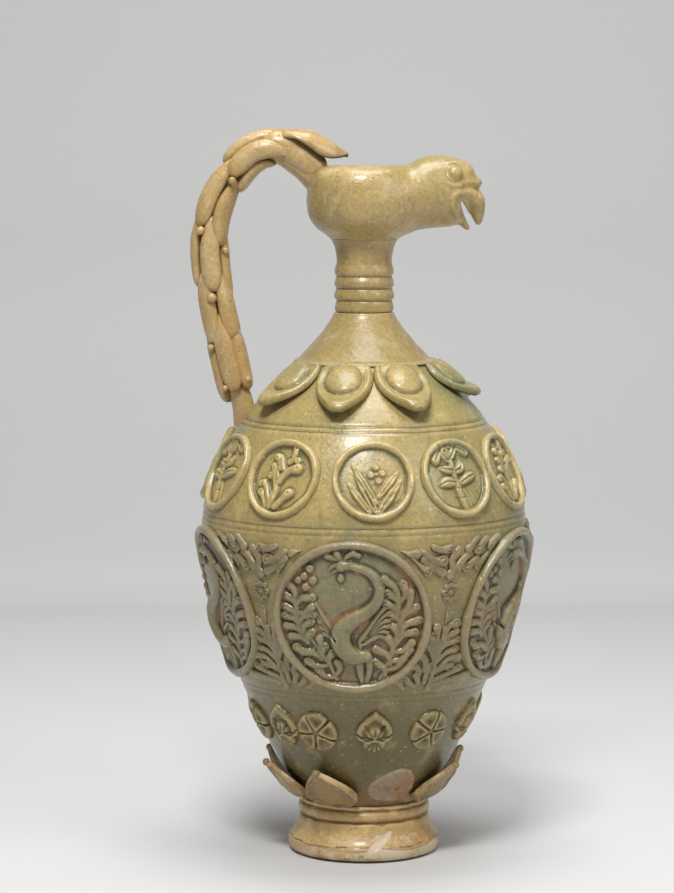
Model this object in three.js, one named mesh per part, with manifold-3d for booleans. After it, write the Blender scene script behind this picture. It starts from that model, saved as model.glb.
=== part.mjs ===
// A bird-head ewer: a tall glazed stoneware jug with a cup mouth that grows into a bird's head,
// a ridged neck, an arched handle laid with leaves, and applied petals, roundels and medallions.
// Millimetres, +Z up. The base centre is the origin, the bird looks to +X, the handle is at -X
// and the front faces -Y. Azimuths are in degrees from the front towards +X.

import * as THREE from 'three';
import { mergeVertices } from 'three/addons/utils/BufferGeometryUtils.js';
import Module from 'manifold-3d';

const wasm = await Module();
wasm.setup();

// Fit between neighbouring pieces
const clearance = 0.3;

// Foot
const footRadius = 48;
const footRimHeight = 8.5;
const footHeight = 33;
const footWaistRadius = 39;
const footStemRadius = 41.5;
const footBevel = 2.4;
const footGroove = 1.6;

// Body
const bellyRadius = 102;
const bellyHeight = 205;
const bodyJointHeight = 212;
const collarRadius = 44;
const collarHeight = 307;
const wallThickness = 6;
const floorThickness = 11;

// Neck
const neckRadius = 17.6;
const neckHeight = 76;
const neckTopRadius = 20.2;
const neckBoreRadius = 12.5;
const neckFlareHeight = 31;
const ridgeCount = 4;
const ridgePitch = 7.5;
const ridgeRise = 1.5;

// Cup mouth and bird's head
const cupRadius = 35.8;
const cupBellyRise = 28;
const cupHeight = 46;
const mouthRadius = 20;
const cupWall = 4.5;
const headLength = 69;
const crownRise = 52.5;
const headHalfWidth = 21;
const eyeRadius = 4.3;
const eyeSetback = 13.6;
const eyeDrop = 13;
const beakOverhang = 6.2;
const beakHeight = 20;
const beakRoot = 9;
const beakHalfWidth = 12.5;
const nostrilRadius = 8;
const mouthSlit = 2.4;

// Handle
const handleReach = 96;
const handleCrownRise = 9.7;
const handleRootGap = 5;
const handleCoreRadius = 7;
const handleSeatRadius = 9.5;
const handleSwellLength = 50;
const leafThickness = 6.4;
const leafSeat = clearance * 1.5;
const leafEdge = 1.4;
const leafSpan = 43;

// Petals, roundels and medallions
const shoulderPetalLength = 40.5;
const shoulderPetalHalfWidth = 17.8;
const shoulderPetalLift = 8;
const shoulderPetalBoss = 6.5;
const footPetalLength = 33;
const footPetalHalfWidth = 16;
const footPetalLift = 7;
const roundelGap = 0.7;
const roundelHeight = 242.5;
const roundelRingWidth = 4.2;
const roundelRingRise = 3.6;
const plantRise = 2.3;
const medallionRadius = 49.2;
const medallionHeight = 160;
const medallionRingWidth = 5;
const medallionRingRise = 4.2;
const fernRise = 2;
const sprigRadius = 14.4;
const sprigHeight = 85.5;
const sprigRise = 3;

// Places round the pot, as the potter spaced them by eye; the shoulder petals with shares of their length
const shoulderPetalPlaces = [[-55, 0.96], [-14, 1], [26, 1], [76, 0.82], [121, 1], [166, 1], [212, 1]];
const footPetalAzimuths = [-67, -24, 20, 59, 106, 153, 199, 246];
const brokenFootPetal = 2;
const roundelAzimuths = [-67, -33, 3, 37, 69, 101, 133, 165, 197, 229, 261];
const medallionAzimuths = [-73, -5, 67, 140, 213];
const sprigAzimuths = [5, 35, 65, 97, 129, 161, 193, 225, 257, 289, 314, 335];

const glazeRoughness = 0.3;
const olive = finish(0x9a8d55, glazeRoughness);
const greenOlive = finish(0x7d7a4c, glazeRoughness);
const tan = finish(0xb39d62, glazeRoughness);
const greyOlive = finish(0x6f6b4a, glazeRoughness);
const paleTan = finish(0xc4ad74, glazeRoughness);
const chalk = finish(0xcdb98f, 0.75);

function finish(color, roughness) {
  return new THREE.MeshStandardMaterial({ color, roughness, metalness: 0 });
}

// Closed solids

function signedVolume(position, triangles) {
  const [a, b, c] = [new THREE.Vector3(), new THREE.Vector3(), new THREE.Vector3()];
  let volume = 0;
  for (let i = 0; i < triangles.length; i += 3) {
    a.fromBufferAttribute(position, triangles[i]);
    b.fromBufferAttribute(position, triangles[i + 1]);
    c.fromBufferAttribute(position, triangles[i + 2]);
    volume += a.dot(b.cross(c)) / 6;
  }
  return volume;
}

function solidOf(geometry) {
  const bare = geometry.clone();
  bare.deleteAttribute('normal');
  bare.deleteAttribute('uv');
  const merged = mergeVertices(bare, 1e-4);
  const position = merged.getAttribute('position');
  const triangles = [];
  for (let i = 0; i < merged.index.count; i += 3) {
    const [a, b, c] = [0, 1, 2].map((k) => merged.index.getX(i + k));
    if (a !== b && b !== c && c !== a) triangles.push(a, b, c);
  }
  if (signedVolume(position, triangles) < 0) triangles.reverse();
  const mesh = new wasm.Mesh({
    numProp: 3,
    vertProperties: new Float32Array(position.array),
    triVerts: new Uint32Array(triangles),
  });
  return new wasm.Manifold(mesh);
}

function geometryOf(solid) {
  const mesh = solid.getMesh();
  const geometry = new THREE.BufferGeometry();
  geometry.setAttribute('position', new THREE.BufferAttribute(new Float32Array(mesh.vertProperties), 3));
  geometry.setIndex(new THREE.BufferAttribute(new Uint32Array(mesh.triVerts), 1));
  return geometry;
}

// A profile of [radius, height] points turned about the Z axis
function revolve(profile, segments) {
  const points = profile.map(([radius, height]) => new THREE.Vector2(radius, height));
  return solidOf(new THREE.LatheGeometry(points, segments).rotateX(Math.PI / 2));
}

// A skin over a row of rings that all have the same number of points, closed at both ends
function loft(rings, startPoint = centreOf(rings[0]), endPoint = centreOf(rings[rings.length - 1])) {
  const count = rings[0].length;
  const points = [...rings.flat(), startPoint, endPoint];
  const start = points.length - 2;
  const end = points.length - 1;
  const index = [];
  for (let k = 0; k < count; k += 1) {
    const next = (k + 1) % count;
    for (let ring = 0; ring < rings.length - 1; ring += 1) {
      const low = ring * count;
      const high = low + count;
      index.push(low + k, low + next, high + next, low + k, high + next, high + k);
    }
    const last = (rings.length - 1) * count;
    index.push(start, next, k, end, last + k, last + next);
  }
  const geometry = new THREE.BufferGeometry().setFromPoints(points);
  geometry.setIndex(index);
  return solidOf(geometry);
}

// A closed hoop over a row of sections that runs back to its start
function hoop(sections) {
  const count = sections[0].length;
  const index = [];
  sections.forEach((_, k) => {
    const low = k * count;
    const high = ((k + 1) % sections.length) * count;
    for (let i = 0; i < count; i += 1) {
      const next = (i + 1) % count;
      index.push(low + i, low + next, high + next, low + i, high + next, high + i);
    }
  });
  const geometry = new THREE.BufferGeometry().setFromPoints(sections.flat());
  geometry.setIndex(index);
  return solidOf(geometry);
}

function centreOf(ring) {
  return ring.reduce((sum, point) => sum.add(point), new THREE.Vector3()).divideScalar(ring.length);
}

// A tapered roll of clay along points in space, with rounded ends
function roll(points, radii, sides, upAt) {
  const rings = points.map((point, i) => {
    const ahead = points[Math.min(i + 1, points.length - 1)];
    const behind = points[Math.max(i - 1, 0)];
    const along = ahead.clone().sub(behind).normalize();
    const side = along.clone().cross(upAt(i)).normalize();
    const up = side.clone().cross(along);
    return angles(sides).map((angle) => point.clone()
      .addScaledVector(side, radii[i] * Math.cos(angle))
      .addScaledVector(up, radii[i] * Math.sin(angle)));
  });
  return loft(rings);
}

function angles(count) {
  return Array.from({ length: count }, (_, k) => (2 * Math.PI * k) / count);
}

function steps(low, high, count) {
  return Array.from({ length: count + 1 }, (_, k) => low + ((high - low) * k) / count);
}

const radians = THREE.MathUtils.degToRad;
const mix = THREE.MathUtils.lerp;

// Wall of the body: the thrown outline from the foot to the collar, in shares of the rise to the
// belly and of the swell from the foot's waist, then of the rise to the collar

const lowerOutline = [[0, 0], [0.076, 0.135], [0.177, 0.302], [0.436, 0.624], [0.541, 0.746],
  [0.785, 0.941], [1, 1]];
const upperOutline = [[0.265, 0.905], [0.647, 0.569], [1, 0]];
const outlineStep = 1;

function bodyOutline() {
  const lower = lowerOutline.map(([rise, swell]) => new THREE.Vector2(
    mix(footWaistRadius, bellyRadius, swell),
    mix(footHeight, bellyHeight, rise),
  ));
  const upper = upperOutline.map(([rise, swell]) => new THREE.Vector2(
    mix(collarRadius, bellyRadius, swell),
    mix(bellyHeight, collarHeight, rise),
  ));
  const curve = new THREE.SplineCurve([...lower, ...upper]);
  return curve.getSpacedPoints(Math.round(curve.getLength() / outlineStep));
}

const outline = bodyOutline();
const outlineLength = new THREE.SplineCurve(outline).getLength();
const outlinePitch = outlineLength / (outline.length - 1);

// Radius, height and outward slope of the wall at a distance along the outline from the foot
function wallAt(along) {
  const place = THREE.MathUtils.clamp(along / outlinePitch, 0, outline.length - 1.001);
  const i = Math.floor(place);
  const point = outline[i].clone().lerp(outline[i + 1], place - i);
  const rise = outline[i + 1].clone().sub(outline[i]).normalize();
  return { radius: point.x, height: point.y, out: rise.y, up: -rise.x };
}

function alongAtHeight(height) {
  const i = outline.findIndex((point) => point.y >= height);
  if (i < 1) return i === 0 ? 0 : outlineLength;
  const share = (height - outline[i - 1].y) / (outline[i].y - outline[i - 1].y);
  return (i - 1 + share) * outlinePitch;
}

// A point that lies `across` and `up` mm from a place on the wall, `lift` mm proud of it
function onWall(azimuth, centre, across, up, lift) {
  const wall = wallAt(centre + up);
  const angle = radians(azimuth) + across / wall.radius;
  const radius = wall.radius + lift * wall.out;
  const height = wall.height + lift * wall.up;
  return new THREE.Vector3(radius * Math.sin(angle), -radius * Math.cos(angle), height);
}

function wallNormal(azimuth, centre, across, up) {
  return onWall(azimuth, centre, across, up, 1).sub(onWall(azimuth, centre, across, up, 0));
}

function wallProfile(fromHeight, toHeight, inset, count) {
  return steps(alongAtHeight(fromHeight), alongAtHeight(toHeight), count).map((along) => {
    const wall = wallAt(along);
    return [wall.radius - inset * wall.out, wall.height - inset * wall.up];
  });
}

// The rings all but fill their closest pitch round the shoulder
function roundelSize() {
  const pitches = roundelAzimuths.slice(1).map((azimuth, k) => azimuth - roundelAzimuths[k]);
  const wall = wallAt(alongAtHeight(roundelHeight));
  return (radians(Math.min(...pitches)) * wall.radius - roundelGap) / 2;
}

const roundelRadius = roundelSize();

const bodySegments = 48;

// The body's outer form grown a little, for cutting what is seated on it
function grownBody(grow) {
  const side = wallProfile(footHeight, collarHeight, -grow, 24);
  return revolve([[0, side[0][1]], ...side, [0, side[side.length - 1][1]]], bodySegments);
}

// Thrown pieces

function foot() {
  const flare = footRadius - footStemRadius;
  const stemRise = footHeight - footRimHeight;
  const at = (share) => footRimHeight + stemRise * share;
  return revolve([
    [0, 0],
    [footRadius - footBevel * 0.7, 0],
    [footRadius, footBevel],
    [footRadius, footRimHeight],
    [footStemRadius + flare * 0.5, at(0.12)],
    [footStemRadius + flare * 0.12, at(0.25)],
    [footStemRadius, at(0.46)],
    [footStemRadius - footGroove, at(0.52)],
    [footStemRadius, at(0.6)],
    [footStemRadius, at(0.78)],
    [footWaistRadius, at(0.9)],
    [footWaistRadius, footHeight - clearance],
    [0, footHeight - clearance],
  ], 36);
}

function lowerBody() {
  const floorHeight = footHeight + floorThickness;
  const outside = wallProfile(footHeight, bodyJointHeight, 0, 10);
  const inside = wallProfile(floorHeight, bodyJointHeight, wallThickness, 5);
  const rim = inside[inside.length - 1];
  const shell = revolve([
    [0, footHeight],
    ...outside,
    [rim[0], bodyJointHeight],
    ...inside.slice(0, -1).reverse(),
    [0, inside[0][1]],
  ], bodySegments);
  return [...sprigs(), ...ferns(), ...footPetals()].reduce((body, piece) => body.add(piece), shell);
}

function upperBody() {
  const base = bodyJointHeight + clearance;
  const outside = wallProfile(base, collarHeight, 0, 6);
  const inside = wallProfile(base, collarHeight - wallThickness, wallThickness, 3);
  const lip = inside[inside.length - 1][0];
  return revolve([
    ...outside,
    [lip, collarHeight],
    ...inside.slice(1).reverse(),
    [inside[0][0], base],
    outside[0],
  ], bodySegments);
}

const neckBase = collarHeight + clearance;
const neckTop = collarHeight + neckHeight;

function neck() {
  const flarePower = 1.25;
  const flare = steps(0, 1, 5).map((share) => [
    mix(neckRadius + ridgeRise, collarRadius, (1 - share) ** flarePower),
    mix(neckBase, neckBase + neckFlareHeight, share),
  ]);
  const ridges = [];
  for (let ridge = 0; ridge < ridgeCount; ridge += 1) {
    const base = neckBase + neckFlareHeight + ridge * ridgePitch;
    ridges.push([neckRadius - ridgeRise * 0.5, base + ridgePitch * 0.2]);
    ridges.push([neckRadius + ridgeRise, base + ridgePitch * 0.65]);
  }
  const throat = neckBase + neckFlareHeight;
  return revolve([
    [collarRadius - wallThickness, neckBase],
    ...flare,
    ...ridges,
    [neckRadius + 0.6, neckTop - 8],
    [neckTopRadius, neckTop],
    [neckBoreRadius, neckTop],
    [neckBoreRadius, throat],
    [neckBoreRadius + 6, throat - 12],
    [collarRadius - wallThickness, neckBase],
  ], 32);
}

// Cup mouth and bird's head: a turned bowl that runs into a modelled head, hollowed as one

const headBase = neckTop + clearance;
const cupRim = headBase + cupHeight;
const beakReach = headLength + beakOverhang;

function bowlProfile(grow) {
  const arc = [[0, 0], [0.28, 0.13], [0.62, 0.27], [0.9, 0.5], [1, 0.78], [1, 1]];
  const below = arc.map(([out, share]) => [
    mix(neckTopRadius, cupRadius, out) + grow,
    headBase + cupBellyRise * share - grow * (1 - share),
  ]);
  const shoulderRise = cupHeight - cupBellyRise;
  const above = [[0.93, 0.45], [0.72, 0.78], [0.3, 1]].map(([out, share]) => [
    mix(mouthRadius + 1, cupRadius, out) + grow * 0.9,
    cupRim - shoulderRise * (1 - share) + grow * share,
  ]);
  return [...below, ...above];
}

function bowl(grow) {
  const side = bowlProfile(grow);
  return revolve([[0, side[0][1]], ...side, [0, side[side.length - 1][1]]], 32);
}

// Stations of the head as [reach, chin height, crown height, half width], in shares
const headStations = [
  [0.1, 0.07, 0.78, 1.5],
  [0.32, 0.075, 0.84, 1.34],
  [0.5, 0.12, 0.965, 1.16],
  [0.66, 0.145, 1, 1],
  [0.8, 0.165, 0.975, 0.85],
  [0.9, 0.24, 0.935, 0.66],
  [0.98, 0.42, 0.85, 0.4],
];

function headForm(grow, sides, stations = headStations) {
  const nose = headLength + grow;
  const rings = stations.map(([reach, chin, crown, width]) => {
    const low = crownRise * chin - grow;
    const high = crownRise * crown + grow;
    const half = headHalfWidth * width + grow;
    return angles(sides).map((angle) => new THREE.Vector3(
      nose * reach,
      half * Math.cos(angle),
      headBase + (low + high) / 2 + ((high - low) / 2) * Math.sin(angle),
    ));
  });
  const [, lowNose, highNose] = stations[stations.length - 1];
  const tipHeight = headBase + (crownRise * (lowNose + highNose)) / 2;
  return loft(rings, undefined, new THREE.Vector3(nose, 0, tipHeight));
}

function headOuter(grow) {
  return bowl(grow).add(headForm(grow, 16));
}

function birdHead() {
  const cavity = bowlProfile(-cupWall);
  const lip = cavity[cavity.length - 1];
  const hollow = revolve([
    [0, headBase + cupWall],
    [neckTopRadius - 2, headBase + cupWall],
    ...cavity.filter(([, height]) => height > headBase + cupWall),
    [mouthRadius, lip[1]],
    [mouthRadius, cupRim + cupWall],
    [0, cupRim + cupWall],
  ], 24);
  const headHollow = headForm(-cupWall, 12, headStations.slice(0, 5));
  const bore = revolve([
    [0, headBase - 1],
    [neckBoreRadius, headBase - 1],
    [neckBoreRadius, headBase + cupWall + 1],
    [0, headBase + cupWall + 1],
  ], 24);
  return headOuter(0).subtract(hollow).subtract(headHollow).subtract(bore).subtract(mouthCut());
}

// A flat outline in the XZ plane, given as reach and rise from the neck joint, with its thickness
function sidePlate(points, halfWidth) {
  const shape = new THREE.Shape(points.map(([reach, rise]) => new THREE.Vector2(reach, rise)));
  const geometry = new THREE.ExtrudeGeometry(shape, { depth: 2 * halfWidth, bevelEnabled: false, steps: 1 });
  geometry.rotateX(Math.PI / 2).translate(0, halfWidth, headBase);
  return solidOf(geometry);
}

// The beak's plan: wide where it leaves the head, narrowing to a blunt tip
function beakPlan(halfWidth) {
  const root = headLength * 0.68;
  const points = [
    [root, halfWidth * 1.25],
    [headLength * 0.86, halfWidth],
    [headLength * 0.98, halfWidth * 0.62],
    [beakReach, halfWidth * 0.24],
  ];
  const mirrored = points.map(([reach, half]) => [reach, -half]).reverse();
  const shape = new THREE.Shape([...points, ...mirrored].map(([x, y]) => new THREE.Vector2(x, y)));
  const geometry = new THREE.ExtrudeGeometry(shape, { depth: crownRise, bevelEnabled: false, steps: 1 });
  return solidOf(geometry.translate(0, 0, headBase));
}

// The open mouth runs down and forward from its corner between the two halves of the beak
const mouthCorner = [headLength * 0.861, crownRise * 0.484];
const mouthEnd = [headLength * 0.98, crownRise * 0.156];

function mouthCut() {
  const [cornerX, cornerZ] = mouthCorner;
  const [endX, endZ] = mouthEnd;
  const half = mouthSlit / 2;
  return sidePlate([
    [cornerX - half, cornerZ],
    [endX - half, endZ - 6],
    [endX + half + 1, endZ - 6],
    [cornerX + half, cornerZ],
  ], headHalfWidth);
}

function upperBeak() {
  const [cornerX, cornerZ] = mouthCorner;
  const [endX, endZ] = mouthEnd;
  const hook = sidePlate([
    [cornerX - beakRoot, cornerZ + 5],
    [cornerX, cornerZ],
    [cornerX + mouthSlit / 2, cornerZ],
    [endX + mouthSlit / 2, endZ + 2],
    [beakReach - 3.6, endZ],
    [beakReach - 1.3, endZ + beakHeight * 0.22],
    [beakReach, endZ + beakHeight * 0.55],
    [beakReach - 1.4, endZ + beakHeight * 0.88],
    [beakReach - 5, endZ + beakHeight],
  ], beakHalfWidth * 1.4);
  return hook.intersect(beakPlan(beakHalfWidth)).subtract(headOuter(clearance));
}

function lowerBeak() {
  const [cornerX, cornerZ] = mouthCorner;
  const [endX, endZ] = mouthEnd;
  const jaw = sidePlate([
    [cornerX - mouthSlit / 2, cornerZ],
    [cornerX - beakRoot, cornerZ + 1.5],
    [cornerX - beakRoot, cornerZ - beakRoot],
    [cornerX - 1.5, endZ + 4],
    [endX - 3.6, endZ - 2.6],
    [endX - mouthSlit / 2, endZ - 1],
  ], beakHalfWidth * 1.4);
  return jaw.intersect(beakPlan(beakHalfWidth * 0.86)).subtract(headOuter(clearance));
}

function ball(radius, x, y, z, stretch, segments = 8) {
  const geometry = new THREE.SphereGeometry(radius, segments, Math.round(segments * 0.6));
  geometry.rotateX(Math.PI / 2).scale(...stretch).translate(x, y, z);
  return solidOf(geometry);
}

// The lump of flesh over the nostrils, between the brow and the beak, cut level on the beak's top
function nostrilLump() {
  const beakTop = headBase + mouthEnd[1] + beakHeight;
  const place = [beakReach - nostrilRadius * 1.3, 0, beakTop + nostrilRadius * 0.57];
  const lump = ball(nostrilRadius, ...place, [0.95, 1.05, 0.62]);
  return lump.subtract(headOuter(clearance)).trimByPlane([0, 0, 1], beakTop + clearance);
}

// Half width of the head at a reach and rise, for seating the eyes
function headSide(reach, rise) {
  const share = reach / headLength;
  const i = headStations.findIndex((station) => station[0] > share);
  const [before, after] = [headStations[i - 1], headStations[i]];
  const t = (share - before[0]) / (after[0] - before[0]);
  const [chin, crown, width] = [1, 2, 3].map((k) => mix(before[k], after[k], t));
  const middle = (crownRise * (chin + crown)) / 2;
  const half = (crownRise * (crown - chin)) / 2;
  return headHalfWidth * width * Math.sqrt(Math.max(0, 1 - ((rise - middle) / half) ** 2));
}

function eye(side) {
  const reach = headLength - eyeSetback;
  const rise = crownRise - eyeDrop;
  const seat = side * headSide(reach, rise);
  return ball(eyeRadius, reach, seat, headBase + rise, [1, 0.8, 1]).subtract(headOuter(clearance));
}

// Handle: a rolled core bent in the XZ plane, laid with leaf pads

// Points as [share of reach, share of the rise from root to crown]
const handleShape = [[0.417, 0.955], [0.583, 1], [0.75, 0.973], [0.92, 0.846], [0.985, 0.735], [1, 0.62],
  [0.984, 0.512], [0.953, 0.416], [0.917, 0.316], [0.875, 0.214], [0.839, 0.127], [0.79, 0.048]];

function handlePath() {
  const rootHeight = roundelHeight + roundelRadius + handleRootGap;
  const bent = handleShape.map(([reach, rise]) => new THREE.Vector3(
    -handleReach * reach,
    0,
    mix(rootHeight, cupRim + handleCrownRise, rise),
  ));
  const root = wallAt(alongAtHeight(rootHeight - 6));
  const landing = new THREE.Vector3(-root.radius + 5, 0, root.height);
  const seat = new THREE.Vector3(-cupRadius * 0.78, 0, cupRim - 9);
  return new THREE.CatmullRomCurve3([seat, ...bent, landing], false, 'centripetal');
}

const handleCurve = handlePath();
const handleLength = handleCurve.getLength();

// The core swells where it is pressed on the cup
function coreRadiusAt(along) {
  const swell = THREE.MathUtils.smoothstep(handleSwellLength - along, 0, handleSwellLength * 0.7);
  return mix(handleCoreRadius, handleSeatRadius, swell);
}

// A point `lift` mm off a bent core, `along` its middle line, turned from the outer side to the front
function onCore(curve, length, along, radius, angle, lift) {
  const share = THREE.MathUtils.clamp(along / length, 0, 1);
  const tangent = curve.getTangentAt(share);
  const outer = new THREE.Vector3(tangent.z, 0, -tangent.x);
  const front = new THREE.Vector3(0, -1, 0);
  return curve.getPointAt(share)
    .addScaledVector(outer, (radius + lift) * Math.cos(angle))
    .addScaledVector(front, (radius + lift) * Math.sin(angle));
}

function onHandle(along, angle, lift) {
  return onCore(handleCurve, handleLength, along, coreRadiusAt(along), angle, lift);
}

function coreRod(grow) {
  const rings = steps(0, handleLength, 22).map((along) => (
    angles(8).map((angle) => onHandle(along, angle, grow))
  ));
  return loft(rings);
}

const seatedBody = grownBody(clearance);
const seatedHead = headOuter(clearance);

function handleCore() {
  return coreRod(0).subtract(seatedBody).subtract(seatedHead);
}

// Rows of leaves as [distance along the handle, length, angles from the outer side], the first two
// in shares of the handle's length
const leafRows = [
  [0.101, 0.149, [95, 265]],
  [0.272, 0.184, [5, 88, 172, 275]],
  [0.434, 0.193, [48, 134, 226, 312]],
  [0.609, 0.193, [3, 90, 178, 268]],
  [0.771, 0.193, [45, 135, 225, 315]],
  [0.916, 0.184, [0, 90, 180, 270]],
];
const leafSides = 10;

// An almond pad: `at` gives the point at a share of its length, an angle from its middle and a lift
function leafPad(at, span) {
  const ring = (share, lift) => angles(leafSides).map((angle) => {
    const side = share * Math.sin(angle) * Math.abs(Math.sin(angle)) ** 0.4;
    return at(share * Math.cos(angle) / 2, radians(side * span), lift);
  });
  const rings = [
    ring(0.6, leafSeat),
    ring(1, leafEdge),
    ring(0.82, leafThickness * 0.75),
    ring(0.4, leafThickness * 0.97),
  ];
  return loft(rings, at(0, 0, leafSeat), at(0, 0, leafThickness));
}

function leaf(place, length, degrees) {
  const at = (share, turn, lift) => (
    onHandle((place + share * length) * handleLength, radians(degrees) + turn, lift)
  );
  return leafPad(at, leafSpan).subtract(seatedBody).subtract(seatedHead);
}

// The last leaf leaves the crown of the handle and reaches out above the cup's rim
const endLeafStart = 0.193;
const endLeafRise = 5;
const endLeafReach = 12.5;
const endLeafSpan = 62;

function endLeaf() {
  const start = handleCurve.getPointAt(endLeafStart);
  const tip = new THREE.Vector3(-endLeafReach, 0, cupRim - 1.5);
  const bend = start.clone().lerp(tip, 0.5).add(new THREE.Vector3(0, 0, endLeafRise));
  const spine = new THREE.QuadraticBezierCurve3(start, bend, tip);
  const length = spine.getLength();
  const at = (share, turn, lift) => {
    const along = (0.5 - share) * length;
    const radius = mix(handleCoreRadius + 1, handleSeatRadius, Math.sin(Math.PI * (0.5 - share)));
    return onCore(spine, length, along, -radius, turn, -lift);
  };
  return leafPad(at, endLeafSpan).subtract(coreRod(clearance)).subtract(seatedHead);
}

// Petals

// A lotus petal under the collar: raised rim, sunk channel, domed boss and an upturned tip
function shoulderPetal(azimuth, size) {
  const root = alongAtHeight(collarHeight) - clearance;
  const length = shoulderPetalLength * size;
  const rings = steps(0, 1, 6).map((share) => {
    const half = shoulderPetalHalfWidth * Math.max(0.08, Math.cos((share - 0.32) * 2.15)) ** 0.8;
    const lift = clearance + shoulderPetalLift * share ** 3;
    const boss = shoulderPetalBoss * Math.max(0, 1 - ((share - 0.28) / 0.48) ** 2);
    const top = [[-1, 0.9], [-0.86, 3], [-0.56, 1.7], [0, 1.9 + boss], [0.56, 1.7], [0.86, 3], [1, 0.9]];
    const under = [[0.5, 0], [0, 0], [-0.5, 0]];
    return [...top, ...under].map(([side, rise]) => (
      onWall(azimuth, root, half * side, -length * share, lift + rise)
    ));
  });
  return loft(rings);
}

// A petal that springs from the foot joint and curls away from the wall to a small round tip
function footPetal(azimuth) {
  const sunk = -1.5;
  const rings = steps(0, 1, 5).map((share) => {
    const half = footPetalHalfWidth * Math.max(0.1, Math.cos((share - 0.3) * 2.2)) ** 0.75;
    const lift = mix(sunk, footPetalLift, share ** 1.6);
    const thick = mix(4.5, 2.6, share);
    const outside = [[-1, 1], [-0.5, thick], [0.5, thick], [1, 1]];
    const inside = [[0.5, sunk * (1 - share)], [-0.5, sunk * (1 - share)]];
    return [...outside, ...inside].map(([side, rise]) => (
      onWall(azimuth, 2.5, half * side, footPetalLength * share, lift + rise)
    ));
  });
  return loft(rings);
}

// Where a foot petal has broken away, a low rough seat is left on the wall
function petalScar(azimuth) {
  const ring = (share, lift) => angles(10).map((angle) => onWall(
    azimuth,
    footPetalLength * 0.5,
    footPetalHalfWidth * share * Math.cos(angle),
    footPetalLength * 0.44 * share * Math.sin(angle),
    lift,
  ));
  const middle = (lift) => onWall(azimuth, footPetalLength * 0.5, 0, 0, lift);
  return loft([ring(1, -1.5), ring(1, 0.5), ring(0.8, 1.6)], middle(-1.5), middle(1.8));
}

function footPetals() {
  return footPetalAzimuths.map((azimuth, k) => (
    k === brokenFootPetal ? petalScar(azimuth) : footPetal(azimuth)
  ));
}

// Roundels, medallions and sprigs

// A round border of rolled clay pressed on the wall
function border(azimuth, height, radius, width, rise, sides) {
  const centre = alongAtHeight(height);
  const seat = clearance * 1.3;
  const section = [[0, seat], [0.3, rise], [0.7, rise], [1, seat]];
  const rings = angles(sides).map((angle) => section.map(([inward, lift]) => {
    const reach = radius - inward * width;
    return onWall(azimuth, centre, reach * Math.cos(angle), reach * Math.sin(angle), lift);
  }));
  return hoop(rings);
}

// A leaf, stalk or bud laid on the wall from [across, up] to [across, up], with a ridge along its
// middle and [across, up, half width] places in between
function ridge(azimuth, centre, places, seat, rise) {
  const at = (across, up, lift) => onWall(azimuth, centre, across, up, lift);
  const rings = places.slice(1, -1).map(([across, up, half], i) => {
    const [beforeX, beforeY] = places[i];
    const [afterX, afterY] = places[i + 2];
    const turn = Math.atan2(afterY - beforeY, afterX - beforeX) + Math.PI / 2;
    const [x, y] = [half * Math.cos(turn), half * Math.sin(turn)];
    return [at(across + x, up + y, seat), at(across, up, rise), at(across - x, up - y, seat)];
  });
  const [start, end] = [places[0], places[places.length - 1]];
  return loft(rings, at(start[0], start[1], seat), at(end[0], end[1], seat));
}

function scaled(places, size) {
  return places.map((place) => place.map((share) => share * size));
}

// Plants that grow up from the roundels' rings, by turns, in shares of the ring's radius
const plants = [
  // spray with buds
  [
    [[-0.16, -0.9], [-0.11, -0.4, 0.1], [-0.12, 0.05, 0.08], [-0.3, 0.42]],
    [[-0.14, -0.86], [-0.42, -0.3, 0.12], [-0.56, -0.1]],
    [[-0.08, -0.86], [0.26, -0.42, 0.12], [0.36, -0.3]],
    [[-0.12, -0.24], [0.32, 0.22, 0.14], [0.5, 0.3]],
    [[-0.12, -0.1], [-0.16, 0.44, 0.1], [-0.26, 0.58]],
    [[0.1, -0.02], [0.22, 0.62, 0.1], [0.26, 0.8]],
  ],
  // blades round a small flower
  [
    [[0.02, -0.9], [-0.2, -0.3, 0.1], [-0.48, 0.38]],
    [[0, -0.9], [-0.34, -0.4, 0.1], [-0.62, -0.06]],
    [[0.05, -0.9], [0.33, -0.34, 0.1], [0.64, 0.22]],
    [[0.05, -0.9], [0.38, -0.5, 0.09], [0.58, -0.2]],
    [[0.02, -0.9], [0.04, -0.1, 0.06], [0.08, 0.18, 0.16], [0.08, 0.38]],
  ],
  // bamboo
  [
    [[0.06, -0.9], [-0.05, -0.4, 0.1], [-0.12, 0.3, 0.08], [-0.14, 0.8]],
    [[-0.04, -0.12], [-0.36, -0.09, 0.13], [-0.62, -0.18]],
    [[-0.12, -0.16], [0.33, 0, 0.12], [0.62, 0.06]],
    [[-0.08, 0.14], [-0.28, 0.22, 0.1], [-0.46, 0.28]],
    [[-0.14, 0.12], [0.12, 0.26, 0.1], [0.24, 0.44]],
    [[-0.1, 0.46], [-0.34, 0.64, 0.1], [-0.58, 0.5]],
    [[-0.16, 0.46], [0.12, 0.68, 0.1], [0.46, 0.62]],
  ],
];

function roundel(azimuth, plant) {
  const centre = alongAtHeight(roundelHeight);
  const ring = border(azimuth, roundelHeight, roundelRadius, roundelRingWidth, roundelRingRise, 20);
  return plant.reduce((whole, places) => (
    whole.add(ridge(azimuth, centre, scaled(places, roundelRadius), clearance * 1.6, plantRise))
  ), ring);
}

// The bird on each medallion: its long neck winds in an S from the beak down to the breast, and its
// tail runs on to the border, given as [across, up, thickness] in shares of the medallion's radius
const birdCurve = [[-0.3, 0.62, 0.03], [-0.12, 0.69, 0.06], [0.24, 0.59, 0.056], [0.385, 0.34, 0.066],
  [0.25, 0.1, 0.085], [-0.08, -0.13, 0.12], [-0.12, -0.38, 0.13], [0.1, -0.56, 0.1],
  [0.16, -0.72, 0.075], [0.13, -0.93, 0.075]];

const birdLift = 0.2;

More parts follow.
